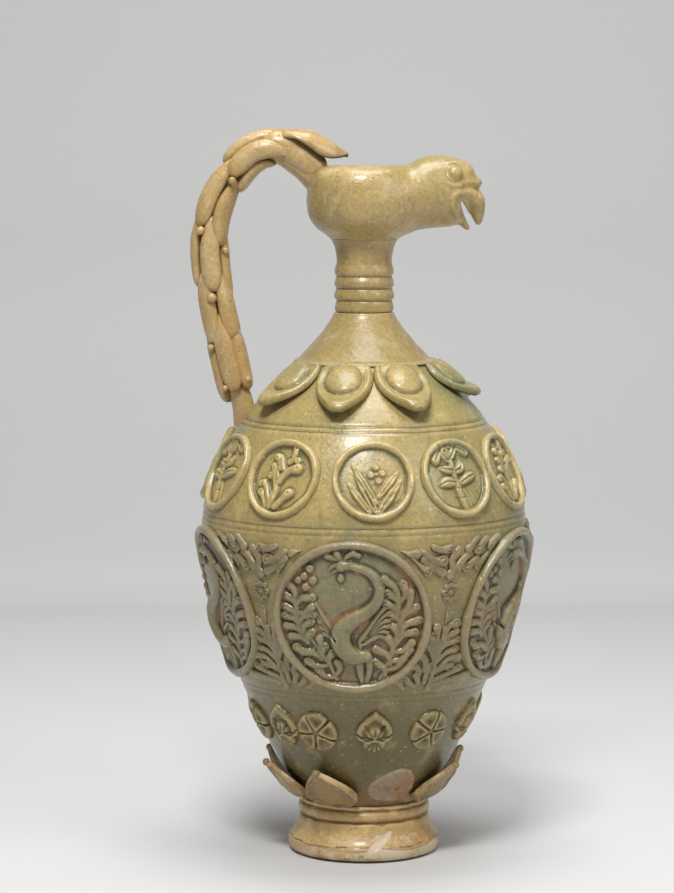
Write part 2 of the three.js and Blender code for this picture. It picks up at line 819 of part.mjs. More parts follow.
function medallion(azimuth) {
  const centre = alongAtHeight(medallionHeight);
  const ring = border(azimuth, medallionHeight, medallionRadius, medallionRingWidth, medallionRingRise, 24);
  const places = birdCurve.map(([across, up]) => [across * medallionRadius, up * medallionRadius]);
  const radii = birdCurve.map((station) => station[2] * medallionRadius);
  const points = places.map(([across, up], i) => onWall(azimuth, centre, across, up, radii[i] * birdLift));
  const upAt = (i) => wallNormal(azimuth, centre, places[i][0], places[i][1]);
  return ring.add(roll(points, radii, 6, upAt).subtract(seatedBody));
}

// Ferns between the medallions: a stem with shoots that rise in pairs, and a spreading spray above a
// rosette, as [share of the free width, share of the medallion's radius up, half width]
const fernStem = [[0, -0.98], [0, -0.5, 0.035], [0, 0.1]];
const fernShoots = [
  [[0, -0.9], [0.55, -0.74, 0.05], [0.9, -0.8]],
  [[0, -0.72], [0.5, -0.48, 0.045], [0.75, -0.4]],
  [[0, -0.45], [0.45, -0.2, 0.035], [0.6, -0.08]],
  [[0, 0.48], [0.55, 0.7, 0.05], [0.85, 0.84]],
  [[0.1, 0.5], [0.2, 0.8, 0.05], [0.32, 0.98]],
];
const rosetteRise = 0.36;
const rosetteRadius = 0.13;

// Half the free width between two medallions, half of whose spacing is `turn` degrees
function freeWidth(turn, up) {
  const wall = wallAt(alongAtHeight(medallionHeight) + up);
  const ring = Math.sqrt(Math.max(0, medallionRadius ** 2 - up ** 2));
  return radians(turn) * wall.radius - ring;
}

function fern(azimuth, turn) {
  const centre = alongAtHeight(medallionHeight);
  const mirrored = fernShoots.map((shoot) => shoot.map(([share, ...rest]) => [-share, ...rest]));
  const strokes = [fernStem, ...fernShoots, ...mirrored].map((places) => {
    const sized = scaled(places, medallionRadius).map(([, up, half], i) => (
      [places[i][0] * freeWidth(turn, up), up, half]
    ));
    return ridge(azimuth, centre, sized, -0.8, fernRise);
  });
  const rosettePlace = centre + rosetteRise * medallionRadius;
  const rosette = sprig(azimuth, rosettePlace, rosetteRadius * medallionRadius, flowerOutline, 10, fernRise);
  return [...strokes, rosette];
}

function ferns() {
  return medallionAzimuths.flatMap((azimuth, k) => {
    const after = k + 1 < medallionAzimuths.length ? medallionAzimuths[k + 1] : medallionAzimuths[0] + 360;
    return fern((azimuth + after) / 2, (after - azimuth) / 2);
  });
}

// Small sprigs round the lower body, five-petalled flowers and pointed palmettes by turns
function sprig(azimuth, centre, radius, outlineAt, sides, rise) {
  const ring = (share, lift) => angles(sides).map((angle) => {
    const reach = radius * outlineAt(angle) * share;
    return onWall(azimuth, centre, reach * Math.cos(angle), reach * Math.sin(angle), lift);
  });
  const middle = (lift) => onWall(azimuth, centre, 0, 0, lift);
  return loft([ring(1, -0.8), ring(0.78, rise)], middle(-0.8), middle(rise * 0.75));
}

function flowerOutline(angle) {
  return 0.84 + 0.16 * Math.abs(Math.cos(2.5 * (angle - Math.PI / 2)));
}

function palmetteOutline(angle) {
  return 0.8 + 0.22 * Math.sin(angle) ** 6;
}

function sprigs() {
  const centre = alongAtHeight(sprigHeight);
  return sprigAzimuths.map((azimuth, k) => (
    k % 2
      ? sprig(azimuth, centre, sprigRadius, flowerOutline, 15, sprigRise)
      : sprig(azimuth, centre, sprigRadius, palmetteOutline, 12, sprigRise)
  ));
}

// Assembly

const ewer = new THREE.Group();

function place(name, solid, material) {
  const mesh = new THREE.Mesh(geometryOf(solid), material);
  mesh.name = name;
  ewer.add(mesh);
}

place('foot', foot(), chalk);
place('body_lower', lowerBody(), greyOlive);
place('body_upper', upperBody(), olive);
place('neck', neck(), tan);
place('bird_head', birdHead(), tan);
place('upper_beak', upperBeak(), tan);
place('lower_beak', lowerBeak(), tan);
place('nostril_lump', nostrilLump(), tan);
place('eye_right', eye(-1), tan);
place('eye_left', eye(1), tan);
place('handle_core', handleCore(), paleTan);
place('handle_leaf_end', endLeaf(), paleTan);

leafRows.forEach(([centre, length, leafAngles], row) => {
  leafAngles.forEach((degrees, k) => {
    place(`handle_leaf_${row + 1}${'abcd'[k]}`, leaf(centre, length, degrees), paleTan);
  });
});

shoulderPetalPlaces.forEach(([azimuth, size], k) => {
  place(`shoulder_petal_${k + 1}`, shoulderPetal(azimuth, size), olive);
});

roundelAzimuths.forEach((azimuth, k) => {
  place(`roundel_${k + 1}`, roundel(azimuth, plants[(k + 2) % plants.length]), olive);
});

medallionAzimuths.forEach((azimuth, k) => {
  place(`medallion_${k + 1}`, medallion(azimuth), greenOlive);
});

export default ewer;
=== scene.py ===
"""A glazed bird-head ewer standing on a pale floor, lit softly, seen from its front."""

import math
import random

import bpy
import numpy as np
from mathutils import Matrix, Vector


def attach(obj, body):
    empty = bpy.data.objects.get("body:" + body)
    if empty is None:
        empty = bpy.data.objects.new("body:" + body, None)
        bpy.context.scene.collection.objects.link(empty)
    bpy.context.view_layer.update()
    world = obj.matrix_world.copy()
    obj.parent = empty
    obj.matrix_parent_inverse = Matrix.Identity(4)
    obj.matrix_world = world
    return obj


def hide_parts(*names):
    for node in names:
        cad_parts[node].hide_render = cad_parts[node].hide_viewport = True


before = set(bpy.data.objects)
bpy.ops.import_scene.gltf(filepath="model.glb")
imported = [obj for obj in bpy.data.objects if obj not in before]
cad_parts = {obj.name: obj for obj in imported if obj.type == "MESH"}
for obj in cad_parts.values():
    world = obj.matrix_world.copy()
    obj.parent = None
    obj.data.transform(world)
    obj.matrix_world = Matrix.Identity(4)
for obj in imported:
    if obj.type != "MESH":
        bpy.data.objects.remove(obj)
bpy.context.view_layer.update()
random.seed(7)

MM = 0.001

# Sizes in millimetres, as in the solids

FOOT_HEIGHT = 33.0
FOOT_WAIST = 39.0
BELLY_RADIUS = 102.0
BELLY_HEIGHT = 205.0
COLLAR_RADIUS = 44.0
COLLAR_HEIGHT = 307.0
WALL = 6.0
BODY_FLOOR = 11.0
NECK_BORE = 12.5
NECK_FLARE = 31.0
RIDGE_PITCH = 7.5
HEAD_BASE = 383.3
CUP_RIM = 429.3
CUP_HEIGHT = 46.0
CUP_RADIUS = 35.8
CUP_WALL = 4.5
MOUTH_RADIUS = 20.0
HEAD_LENGTH = 69.0
HEAD_HALF = 21.0
CROWN = 52.5
HANDLE_REACH = 96.0
HANDLE_CROWN = 439.0
HANDLE_ROOT = 273.0
MEDALLION_RADIUS = 49.2
MEDALLION_HEIGHT = 160.0
ROUNDEL_RADIUS = 25.4
ROUNDEL_HEIGHT = 242.5
SPRIG_HEIGHT = 85.5
PETAL_LENGTH = 40.5
PETAL_HALF_WIDTH = 17.8
FOOT_PETAL_LENGTH = 33.0
FOOT_PETAL_HALF_WIDTH = 16.4
FOOT_PETAL_ROOT = 2.5

# Crevice depth that the glaze is given on undersides, as painted shade beneath the pieces, and how often
# crevices are smoothed over
UNDERSIDE_SHADE = 0.45
CREVICE_ROUNDS = 8


# Curves


def lengths(line):
    """Distance along a line of points up to each of them."""
    return np.concatenate([[0], np.cumsum(np.linalg.norm(np.diff(line, axis=0), axis=1))])


def directions(line):
    """Unit direction of a line at each of its points."""
    slope = np.gradient(line, axis=0)
    return slope / np.linalg.norm(slope, axis=1)[:, None]


def around(count):
    """Angles evenly round one turn."""
    return np.linspace(0, 2 * math.pi, count, endpoint=False)


def eased(count):
    """Values from -1 to 1 that lie closer together at both ends."""
    return np.sin(np.linspace(-1, 1, count) * math.pi / 2)


def bell(value, width):
    """1 where the value is 0, falling off softly on both sides."""
    return np.exp(-((value / width) ** 2))


def unit(value):
    """The value kept between 0 and 1."""
    return np.clip(value, 0, 1)


def thicker(line, factor, more=0.0):
    """Points of [across, up, radius] with larger radii."""
    return [(x, y, more + factor * radius) for x, y, radius in line]


def curve_through(points, step):
    """A smooth curve through points of any dimension, sampled evenly about every step."""
    points = np.asarray(points, float)
    ends = (2 * points[0] - points[1], 2 * points[-1] - points[-2])
    p = np.vstack([ends[0], points, ends[1]])
    fine = []
    for i in range(1, len(p) - 2):
        t = np.linspace(0, 1, 24, endpoint=False)[:, None]
        a, b = (p[i + 1] - p[i - 1]) / 2, (p[i + 2] - p[i]) / 2
        fine.append(
            (2 * p[i] - 2 * p[i + 1] + a + b) * t**3
            + (3 * p[i + 1] - 3 * p[i] - 2 * a - b) * t**2
            + a * t
            + p[i]
        )
    fine = np.vstack([*fine, points[-1:]])
    length = lengths(fine)
    count = max(2, int(round(length[-1] / step)) + 1)
    at = np.linspace(0, length[-1], count)
    return np.stack([np.interp(at, length, fine[:, k]) for k in range(fine.shape[1])], 1)


def smooth_noise(shape, cells, seed):
    """Soft random values from -1 to 1 over a grid that wraps round its second side."""
    values = np.random.default_rng(seed).uniform(-1, 1, (cells[0] + 1, cells[1]))
    y = np.linspace(0, cells[0], shape[0])
    x = np.linspace(0, cells[1], shape[1], endpoint=False)
    yi, xi = np.minimum(y.astype(int), cells[0] - 1), x.astype(int)
    fy, fx = y - yi, x - xi
    fy, fx = fy * fy * (3 - 2 * fy), fx * fx * (3 - 2 * fx)
    x1 = (xi + 1) % cells[1]
    top = values[yi][:, xi] * (1 - fx) + values[yi][:, x1] * fx
    low = values[yi + 1][:, xi] * (1 - fx) + values[yi + 1][:, x1] * fx
    return top * (1 - fy)[:, None] + low * fy[:, None]


class Route:
    """A line of points in a plane, with the distance along it and its direction at each."""

    def __init__(self, line):
        self.line, self.along, self.slope = line, lengths(line), directions(line)
        self.length = self.along[-1]

    def at(self, along):
        """Both coordinates and both parts of the direction at a distance along it."""
        return [np.interp(along, self.along, values) for values in (*self.line.T, *self.slope.T)]


# The thrown wall, as [share of the rise, share of the swell] below and above the belly

LOWER_OUTLINE = [
    (0, 0), (0.076, 0.135), (0.177, 0.302), (0.436, 0.624), (0.541, 0.746), (0.785, 0.941), (1, 1),
]
UPPER_OUTLINE = [(0.265, 0.905), (0.647, 0.569), (1, 0)]


def outline():
    """The wall from foot to collar as [radius, height] points."""
    points = []
    for shares, end, low, high in (
        (LOWER_OUTLINE, FOOT_WAIST, FOOT_HEIGHT, BELLY_HEIGHT),
        (UPPER_OUTLINE, COLLAR_RADIUS, BELLY_HEIGHT, COLLAR_HEIGHT),
    ):
        points += [(end + (BELLY_RADIUS - end) * swell, low + (high - low) * rise) for rise, swell in shares]
    return curve_through(points, 0.5)


wall = Route(outline())


def wall_at(along):
    """Radius, height and outward slope of the wall at a distance up from the foot."""
    radius, height, outward, upward = wall.at(along)
    return radius, height, upward, -outward


def along_at(height):
    return float(np.interp(height, wall.line[:, 1], wall.along))


def points_of(x, y, z):
    return np.stack(np.broadcast_arrays(x, y, z), -1)


def turned(radius, angle, height):
    """Points round the pot's axis, with angles counted from its front."""
    return points_of(radius * np.sin(angle), -radius * np.cos(angle), height)


def on_wall(azimuth, centre, across, up, lift):
    """Points across and up from a place on the wall, lift mm proud of it."""
    radius, height, out, rise = wall_at(centre + up)
    return turned(radius + lift * out, math.radians(azimuth) + across / radius, height + lift * rise)


# Meshes


def grid_faces(rows, columns, wrap=False):
    """Quads over a grid of rows by columns."""
    last = columns if wrap else columns - 1
    i, j = np.meshgrid(np.arange(rows - 1), np.arange(last), indexing="ij")
    i, j = i.ravel(), j.ravel()
    k = (j + 1) % columns
    return np.stack([i * columns + j, i * columns + k, (i + 1) * columns + k, (i + 1) * columns + j], 1)


def edges_of(faces):
    width = faces.shape[1]
    edges = np.vstack([faces[:, [k, (k + 1) % width]] for k in range(width)]).astype(np.int64)
    low, high = edges.min(1), edges.max(1)
    keys = np.unique(low * (high.max() + 1) + high)
    return np.stack([keys // (high.max() + 1), keys % (high.max() + 1)], 1)


def smoothed(verts, edges, rounds, share):
    """The vertices drawn a share of the way to the mean of their neighbours, round after round."""
    count = len(verts)
    degree = np.bincount(edges.ravel(), minlength=count).clip(1)[:, None]
    first, second = edges[:, 0], edges[:, 1]
    for _ in range(rounds):
        total = [
            np.bincount(first, verts[second, k], count) + np.bincount(second, verts[first, k], count)
            for k in range(3)
        ]
        verts = (1 - share) * verts + share * np.stack(total, 1) / degree
    return verts


def crevices(verts, faces, rounds):
    """How far each vertex lies below the smoothed surface round it, in mm: crevices above zero."""
    count = len(verts)
    soft = smoothed(verts, edges_of(faces), rounds, 0.7)
    normal = np.zeros_like(verts)
    across = np.cross(verts[faces[:, 2]] - verts[faces[:, 0]], verts[faces[:, -1]] - verts[faces[:, 1]])
    for k in range(faces.shape[1]):
        for axis in range(3):
            normal[:, axis] += np.bincount(faces[:, k], across[:, axis], count)
    normal /= np.linalg.norm(normal, axis=1).clip(1e-9)[:, None]
    return ((soft - verts) * normal).sum(1)


def piece(name, verts, faces, material, nodes=(), relief=None, wear=None):
    """A mesh in millimetres that rides on the pot, with its crevice depths, which the glaze darkens partly
    as pooled glaze and partly as painted shade.
    """
    verts = verts.reshape(-1, 3)
    mesh = bpy.data.meshes.new(name)
    mesh.from_pydata((verts * MM).tolist(), [], faces.tolist())
    mesh.polygons.foreach_set("use_smooth", np.ones(len(mesh.polygons), bool))
    relief = crevices(verts, faces, CREVICE_ROUNDS) if relief is None else relief
    for label, values in (("relief", relief), ("wear", wear)):
        if values is not None:
            attribute = mesh.attributes.new(label, "FLOAT", "POINT")
            attribute.data.foreach_set("value", np.ravel(values).astype(np.float32))
    mesh.materials.append(material)
    mesh.update()
    obj = bpy.data.objects.new(name, mesh)
    bpy.context.scene.collection.objects.link(obj)
    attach(obj, "root")
    if nodes:
        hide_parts(*nodes)


def both(upper, lower):
    """Values for a slab: those of its upper grid, and one for all of its underside."""
    return np.concatenate([np.ravel(upper), np.full(np.size(upper), lower)])


def slab(name, top, low, material, nodes, relief, wear=None):
    """A closed slab between two grids of points."""
    rows, columns = top.shape[:2]
    count = rows * columns
    up = grid_faces(rows, columns)
    index = np.arange(count).reshape(rows, columns)
    rim = np.concatenate([index[0, :-1], index[:-1, -1], index[-1, :0:-1], index[:0:-1, 0]])
    after = np.roll(rim, -1)
    sides = np.stack([rim, rim + count, after + count, after], 1)
    faces = np.vstack([up, (up + count)[:, ::-1], sides])
    piece(name, np.stack([top, low]), faces, material, nodes, relief, wear)


def lathe(name, line, columns, material, lift=0.0, wear=None, dark_lines=0.0):
    """A turned piece from [radius, height] points, with lift, wear and dark lines over its rows and columns.
    """
    radius = line[:, :1] + lift * (line[:, :1] > 1)
    verts = turned(radius, around(columns), line[:, 1:2]).reshape(-1, 3)
    faces = grid_faces(len(line), columns, wrap=True)
    relief = crevices(verts, faces, CREVICE_ROUNDS) + np.ravel(dark_lines)
    piece(name, verts, faces, material, (name,), relief, wear)


def ball_at(name, centre, radius, material, seed):
    """A small ball of clay, slightly uneven."""
    rows, columns = 14, 22
    rise = np.linspace(0, math.pi, rows)[:, None]
    turn = around(columns)
    shape = points_of(np.sin(rise) * np.cos(turn), np.sin(rise) * np.sin(turn), np.cos(rise))
    noise = 1 + 0.08 * smooth_noise((rows, columns), (3, 3), seed)[..., None]
    faces = grid_faces(rows, columns, wrap=True)[:, ::-1]
    piece(name, centre + shape * noise * radius, faces, material, relief=np.full(rows * columns, -0.1))


# Glaze


class Nodes:
    """The shader nodes of a material. Each call adds one and gives its output sockets."""

    def __init__(self, material):
        material.use_nodes = True
        self.tree = material.node_tree

    def add(self, kind, inputs=None, **settings):
        made = self.tree.nodes.new("ShaderNode" + kind)
        for key, value in settings.items():
            setattr(made, key, value)
        for key, value in (inputs or {}).items():
            if isinstance(value, bpy.types.NodeSocket):
                self.tree.links.new(value, made.inputs[key])
            else:
                made.inputs[key].default_value = value
        return made.outputs

    def times(self, a, b):
        return self.add("Math", {0: a, 1: b}, operation="MULTIPLY")[0]

    def plus(self, a, b):
        return self.add("Math", {0: a, 1: b}, operation="ADD")[0]

    def ramp(self, value, low, high):
        """0 at low, 1 at high, with soft ends."""
        return self.add("MapRange", {0: value, 1: low, 2: high}, interpolation_type="SMOOTHSTEP")[0]

    def noise(self, place, scale, detail, rough):
        inputs = {"Vector": place, "Scale": scale, "Detail": detail, "Roughness": rough}
        return self.add("TexNoise", inputs)[0]

    def blend(self, amount, low, high):
        """From the low colour to the high one."""
        low, high = ((*value, 1) if isinstance(value, tuple) else value for value in (low, high))
        return self.add("Mix", {0: amount, 6: low, 7: high}, data_type="RGBA")[2]

    def over(self, colour, shade, where, share):
        """A colour with a share of a shade laid over it where the third value says."""
        return self.blend(self.times(where, share), colour, shade)


def glaze(name, base, second, pool_and_shade, thin, cloud=None, rust=0.3, gloss=0.24, bare=(0.66, 0.55, 0.38), low=()):
    """An ash glaze: mottled and streaked, pooled dark in lines, dark in crevices and on undersides (partly
    pooled glaze, partly painted shade), thin on edges, rusty in deep crevices.

    Cloud is the colour of broad patches and low holds [from height, to height, colour] bands, which darken
    the body towards its foot partly as painted shade.
    """
    material = bpy.data.materials.new(name)
    nodes = Nodes(material)
    nodes.tree.nodes.clear()
    place = nodes.add("TexCoord")["Object"]
    relief, wear = (nodes.add("Attribute", attribute_name=label)["Fac"] for label in ("relief", "wear"))

    broad = nodes.noise(place, 20.0, 5.0, 0.6)
    patch = nodes.noise(place, 60.0, 6.0, 0.65)
    fine = nodes.noise(place, 420.0, 4.0, 0.6)
    streaked = nodes.add("Mapping", {"Vector": place, "Scale": (1, 1, 0.22)})[0]
    runs = nodes.noise(streaked, 120.0, 4.0, 0.6)

    colour = nodes.blend(nodes.ramp(broad, 0.4, 0.6), base, second)
    if cloud:
        moved = nodes.add("Mapping", {"Vector": place, "Location": (0.3, 0.1, 0.7)})[0]
        colour = nodes.over(colour, cloud, nodes.ramp(nodes.noise(moved, 16.0, 6.0, 0.62), 0.5, 0.66), 0.6)
    height = nodes.add("SeparateXYZ", {0: place})[2]
    uneven = nodes.plus(height, nodes.times(runs, 0.02))
    # Bands that darken towards the foot: partly the glaze's tone, partly painted shade
    for top, bottom, shade in low:
        colour = nodes.over(colour, shade, nodes.ramp(uneven, top, bottom), 0.85)
    colour = nodes.over(colour, pool_and_shade, nodes.ramp(runs, 0.52, 0.75), 0.3)
    colour = nodes.over(colour, thin, nodes.ramp(patch, 0.52, 0.72), 0.4)
    # Crevices and undersides take the pool colour: partly glaze pooled in hollows, partly painted shade
    colour = nodes.over(colour, pool_and_shade, nodes.ramp(relief, 0.03, 0.4), 0.8)
    colour = nodes.over(colour, thin, nodes.ramp(nodes.times(relief, -1.0), 0.08, 0.5), 0.5)

    rusty = nodes.times(nodes.ramp(relief, 0.05, 0.35), nodes.ramp(patch, 0.5, 0.62))
    colour = nodes.over(colour, RUST, rusty, rust)
    blush = nodes.ramp(nodes.noise(place, 34.0, 6.0, 0.7), 0.58, 0.72)
    colour = nodes.over(colour, BLUSH, blush, rust * 0.8)

    spots = nodes.add("TexVoronoi", {"Vector": place, "Scale": 360.0, "Randomness": 1.0})
    chosen = nodes.add("SeparateColor", {0: spots["Color"]})[0]
    speck = nodes.times(nodes.ramp(spots["Distance"], 0.3, 0.12), nodes.ramp(chosen, 0.82, 0.92))
    colour = nodes.over(colour, SPECK, speck, 0.5)
    pale = nodes.times(nodes.ramp(spots["Distance"], 0.32, 0.16), nodes.ramp(chosen, 0.16, 0.06))
    colour = nodes.over(colour, PALE_SPECK, pale, 0.35)

    cells = {"Vector": place, "Scale": 300.0, "Randomness": 1.0}
    cells = nodes.add("TexVoronoi", cells, feature="DISTANCE_TO_EDGE")
    colour = nodes.over(colour, CRACK, nodes.ramp(cells["Distance"], 0.04, 0.0), 0.2)
    grain = nodes.add("MapRange", {0: fine, 1: 0.3, 2: 0.7, 3: 0.84, 4: 1.14})[0]
    colour = nodes.add("Mix", {6: colour, 7: grain, 0: 1.0}, data_type="RGBA", blend_type="MULTIPLY")[2]

    worn = nodes.ramp(nodes.times(wear, nodes.ramp(patch, 0.3, 0.6)), 0.22, 0.85)
    colour = nodes.over(colour, bare, worn, 0.9)
    rough = nodes.add("MapRange", {0: patch, 1: 0.3, 2: 0.7, 3: gloss - 0.04, 4: gloss + 0.16})[0]
    rough = nodes.add("Mix", {0: worn, 2: rough, 3: 0.85})[0]
    bumps = nodes.plus(nodes.times(fine, 0.5), patch)
    bumps = nodes.plus(bumps, nodes.times(speck, -0.35))
    bumps = nodes.plus(bumps, nodes.times(worn, -0.9))
    bump = nodes.add("Bump", {"Strength": 0.5, "Distance": 0.0013, "Height": bumps})[0]

    shader = {"Base Color": colour, "Roughness": rough, "Normal": bump, "IOR": 1.5}
    shader.update({"Specular IOR Level": 0.4, "Coat Weight": 0.25, "Coat Roughness": 0.16})
    nodes.add("OutputMaterial", {0: nodes.add("BsdfPrincipled", shader)[0]})
    return material


RUST = (0.50, 0.22, 0.055)
BLUSH = (0.47, 0.25, 0.085)
SPECK = (0.12, 0.075, 0.03)
PALE_SPECK = (0.74, 0.66, 0.46)
CRACK = (0.16, 0.12, 0.06)
THIN = (0.56, 0.43, 0.20)
# Dark colour of pooled glaze, also laid as painted shade in crevices and on undersides
POOL_AND_SHADE = (0.105, 0.105, 0.045)
CLOUD = (0.18, 0.20, 0.105)
# Colours of the body towards its foot, darker lower down: partly its own tone, partly painted shade for the
# lower body that faces away from the light
DARKER_AND_SHADED = (0.24, 0.15, (0.19, 0.155, 0.062))
DARKEST_AND_SHADED = (0.13, 0.09, (0.125, 0.098, 0.036))
EARTHY = (0.068, 0.044, (0.25, 0.14, 0.052))

glaze_body = glaze(
    "glaze_body", (0.40, 0.30, 0.115), (0.33, 0.265, 0.10), POOL_AND_SHADE, THIN, CLOUD, low=(DARKER_AND_SHADED, DARKEST_AND_SHADED, EARTHY)
)
glaze_sprig = glaze(
    "glaze_sprig", (0.20, 0.155, 0.055), (0.14, 0.115, 0.045), (0.04, 0.032, 0.012), (0.55, 0.42, 0.18),
    rust=0.4,
)
glaze_relief = glaze(
    "glaze_relief", (0.235, 0.18, 0.085), (0.18, 0.15, 0.075), (0.04, 0.033, 0.015), (0.36, 0.29, 0.165),
    CLOUD, rust=0.45,
)
glaze_neck = glaze(
    "glaze_neck", (0.42, 0.305, 0.125), (0.33, 0.25, 0.095), (0.12, 0.09, 0.03), (0.62, 0.49, 0.28)
)
glaze_handle = glaze(
    "glaze_handle", (0.46, 0.33, 0.15), (0.42, 0.265, 0.095), (0.06, 0.042, 0.018), (0.62, 0.50, 0.31),
    rust=0.5,
)
glaze_foot = glaze(
    "glaze_foot", (0.56, 0.385, 0.165), (0.47, 0.30, 0.11), (0.11, 0.068, 0.028), (0.70, 0.57, 0.36),
    rust=0.5, gloss=0.34, bare=(0.66, 0.54, 0.38),
)
glaze_foot_petal = glaze(
    "glaze_foot_petal", (0.34, 0.215, 0.08), (0.24, 0.165, 0.07), (0.08, 0.055, 0.025), (0.58, 0.42, 0.20),
    rust=0.95, bare=(0.60, 0.45, 0.23),
)
scar_clay = glaze(
    "scar_clay", (0.35, 0.165, 0.07), (0.32, 0.255, 0.17), (0.10, 0.045, 0.02), (0.38, 0.30, 0.20), gloss=0.7
)


# The body: one thrown shell, outside and in

# Incised lines round the body as [height, depth]
INCISED = [(273.3, 0.9), (270.2, 0.8), (214.5, 0.9), (211.0, 0.8), (109.5, 0.55), (106.0, 0.45)]


def body():
    rows, columns = int(wall.length / 1.1), 480
    along = np.linspace(0, wall.length, rows)
    turn = around(columns)
    shape = (rows, columns)
    lift = 0.22 * smooth_noise(shape, (14, 12), 3) + 0.07 * smooth_noise(shape, (60, 60), 4)
    lift = lift + 0.06 * smooth_noise(shape, (110, 5), 5) - 0.3
    for level, depth in INCISED:
        lift -= depth * bell(along - along_at(level), 0.9)[:, None]
    radius, height, out, up = wall_at(along[:, None])
    outside = turned(radius + lift * out, turn, height + lift * up)
    floor_height = FOOT_HEIGHT + BODY_FLOOR
    radius, height, out, up = wall_at(np.linspace(wall.length, along_at(floor_height), 60))
    line = np.stack([radius - WALL * out, height - WALL * up], 1)
    line = np.vstack([line, [[line[-1, 0] * 0.5, floor_height - 1], [0.5, floor_height - 1.5]]])
    inside = turned(line[:, :1], turn, np.minimum(line[:, 1:], COLLAR_HEIGHT - 0.4))
    faces = [grid_faces(len(part), columns, wrap=True) for part in (outside, inside)]
    faces = np.vstack([faces[0], faces[1] + rows * columns])
    piece("body", np.vstack([outside, inside]), faces, glaze_body, ("body_upper", "body_lower"))


# Neck and foot

# Profile of one turned ridge of the neck as shares of its pitch and its rise, and how much each stands out
RIDGE_SHAPE = ([0, 0.1, 0.22, 0.36, 0.58, 0.8, 1], [0, 0.5, 0.88, 1, 0.84, 0.48, 0.12])
RIDGES = (0.8, 1.0, 1.0, 0.85)


def neck():
    base = COLLAR_HEIGHT + 0.3
    top = HEAD_BASE + 0.7
    throat = base + NECK_FLARE
    knots = [(44.3, base), (44.1, base + 1.4)]
    for share in (0.09, 0.2, 0.35, 0.55, 0.75, 0.9, 1.0):
        knots.append((18.7 + (43.6 - 18.7) * (1 - share) ** 1.25, base + NECK_FLARE * share))
    line = [curve_through(knots, 0.7)]
    t = np.linspace(0, 1, 14, endpoint=False)
    for k, fade in enumerate(RIDGES):
        bead = 17.2 + 0.5 * (1 - fade) + 1.5 * fade * np.interp(t, *RIDGE_SHAPE)
        line.append(np.stack([bead, throat + RIDGE_PITCH * (k + t)], 1))
    flare = [(17.4, throat + 30), (17.4, top - 13), (17.9, top - 8), (19.1, top - 3.6), (21.2, top + 0.2)]
    line.append(curve_through(flare, 0.7))
    line.append([(NECK_BORE, top), (NECK_BORE, throat), (NECK_BORE + 6, throat - 12), (38.0, base)])
    line = np.vstack(line)
    columns = 240
    waves = np.sin(around(columns) * 2 + 0.13 * (line[:, 1:2] - base))
    edge = (line[:, 1:2] - base < 2) * (line[:, :1] > 43)
    lift = 0.25 * smooth_noise((len(line), columns), (18, 9), 11) + 0.35 * waves * edge
    lathe("neck", line, columns, glaze_neck, lift)


# Side of the foot as [radius, height], and the dark lines round it as [height, width, depth]
FOOT_SIDE = [
    (0.5, 0.1), (30, 0.1), (45.0, 0.15), (46.6, 0.9), (47.5, 2.6), (47.7, 6.2), (47.3, 8.2), (45.6, 10.0),
    (43.6, 13), (42.3, 17), (41.6, 20), (40.9, 21.6), (39.6, 22.3), (40.0, 23.4), (41.3, 24.8), (41.4, 27.4),
    (40.7, 29.0), (39.5, 29.7), (39.9, 30.8), (40.2, 32.0), (39.4, 32.9),
]
FOOT_LINES = [(8.3, 0.5, 0.5), (22.4, 0.7, 0.45), (30.2, 0.6, 0.35), (1.0, 1.1, 0.3)]


def foot():
    line = np.vstack([curve_through(FOOT_SIDE, 0.5), [(0.5, FOOT_HEIGHT - 0.4)]])
    turn = around(360)
    height = line[:, 1:2] * np.ones(len(turn))
    lift = 0.3 * smooth_noise(height.shape, (max(2, len(line) // 8), 11), 5)
    # A strip of clay that the potter smeared over the joint, and a chip in the rim
    strip = unit(1 - np.abs(turn - 0.32) / 0.75) ** 0.5
    edge = 30.0 + 1.2 * np.sin(turn * 9) + 0.7 * np.sin(turn * 23 + 1)
    lift += 1.1 * strip * unit((height - edge) / 1.2) * (height < FOOT_HEIGHT)
    chip = np.hypot(((turn - 0.21) * 46 - (height - 11) * 1.2) * 1.7, (height - 11) * 0.95)
    chip = unit(1.5 - chip / 5.0)
    lift -= 0.9 * chip
    rough = smooth_noise(height.shape, (30, 60), 21) + 0.6 * smooth_noise(height.shape, (60, 150), 22)
    rim = unit((7.4 + 0.8 * np.sin(turn * 7) - height) / 1.2)
    flaked = unit(1 - np.abs(height - 13) / 8)
    wear = unit(0.85 * rim + 0.5 * flaked * (0.5 + 1.1 * rough) + 4 * chip) + 0.1
    # Darker lines round the foot, at its grooves and along its bottom rim, added to the crevice depth
    dark_lines = np.zeros(height.shape)
    for level, width, depth in FOOT_LINES:
        uneven = 0.35 * np.sin(turn * 5 + level) + 0.25 * np.sin(turn * 17)
        dark_lines += depth * (1 + 0.6 * rough) * bell(height - level - uneven, width)
    lathe("foot", line, len(turn), glaze_foot, lift, wear, dark_lines)


body()
neck()
foot()


# Handle

# Its middle line as [share of the reach, share of the rise from root to crown]
HANDLE_SHAPE = [
    (0.417, 0.955), (0.583, 1), (0.75, 0.973), (0.92, 0.846), (0.985, 0.735), (1, 0.62), (0.984, 0.512),
    (0.953, 0.416), (0.917, 0.316), (0.875, 0.214), (0.839, 0.127), (0.79, 0.048),
]
LEAF_THICKNESS = 5.6
LEAF_SPAN = 43.5
BALL_LIFT = 4.4


def handle_line():
    """From its seat on the cup over the crown down to the shoulder, as [x, height] points."""
    rise = HANDLE_CROWN - HANDLE_ROOT
    bent = [(-HANDLE_REACH * out, HANDLE_ROOT + rise * up) for out, up in HANDLE_SHAPE]
    radius, height, _, _ = wall_at(along_at(HANDLE_ROOT - 6))
    seat = (-CUP_RADIUS * 0.78, CUP_RIM - 9)
    return curve_through([seat, *bent, (-radius + 5, height)], 0.5)


handle = Route(handle_line())


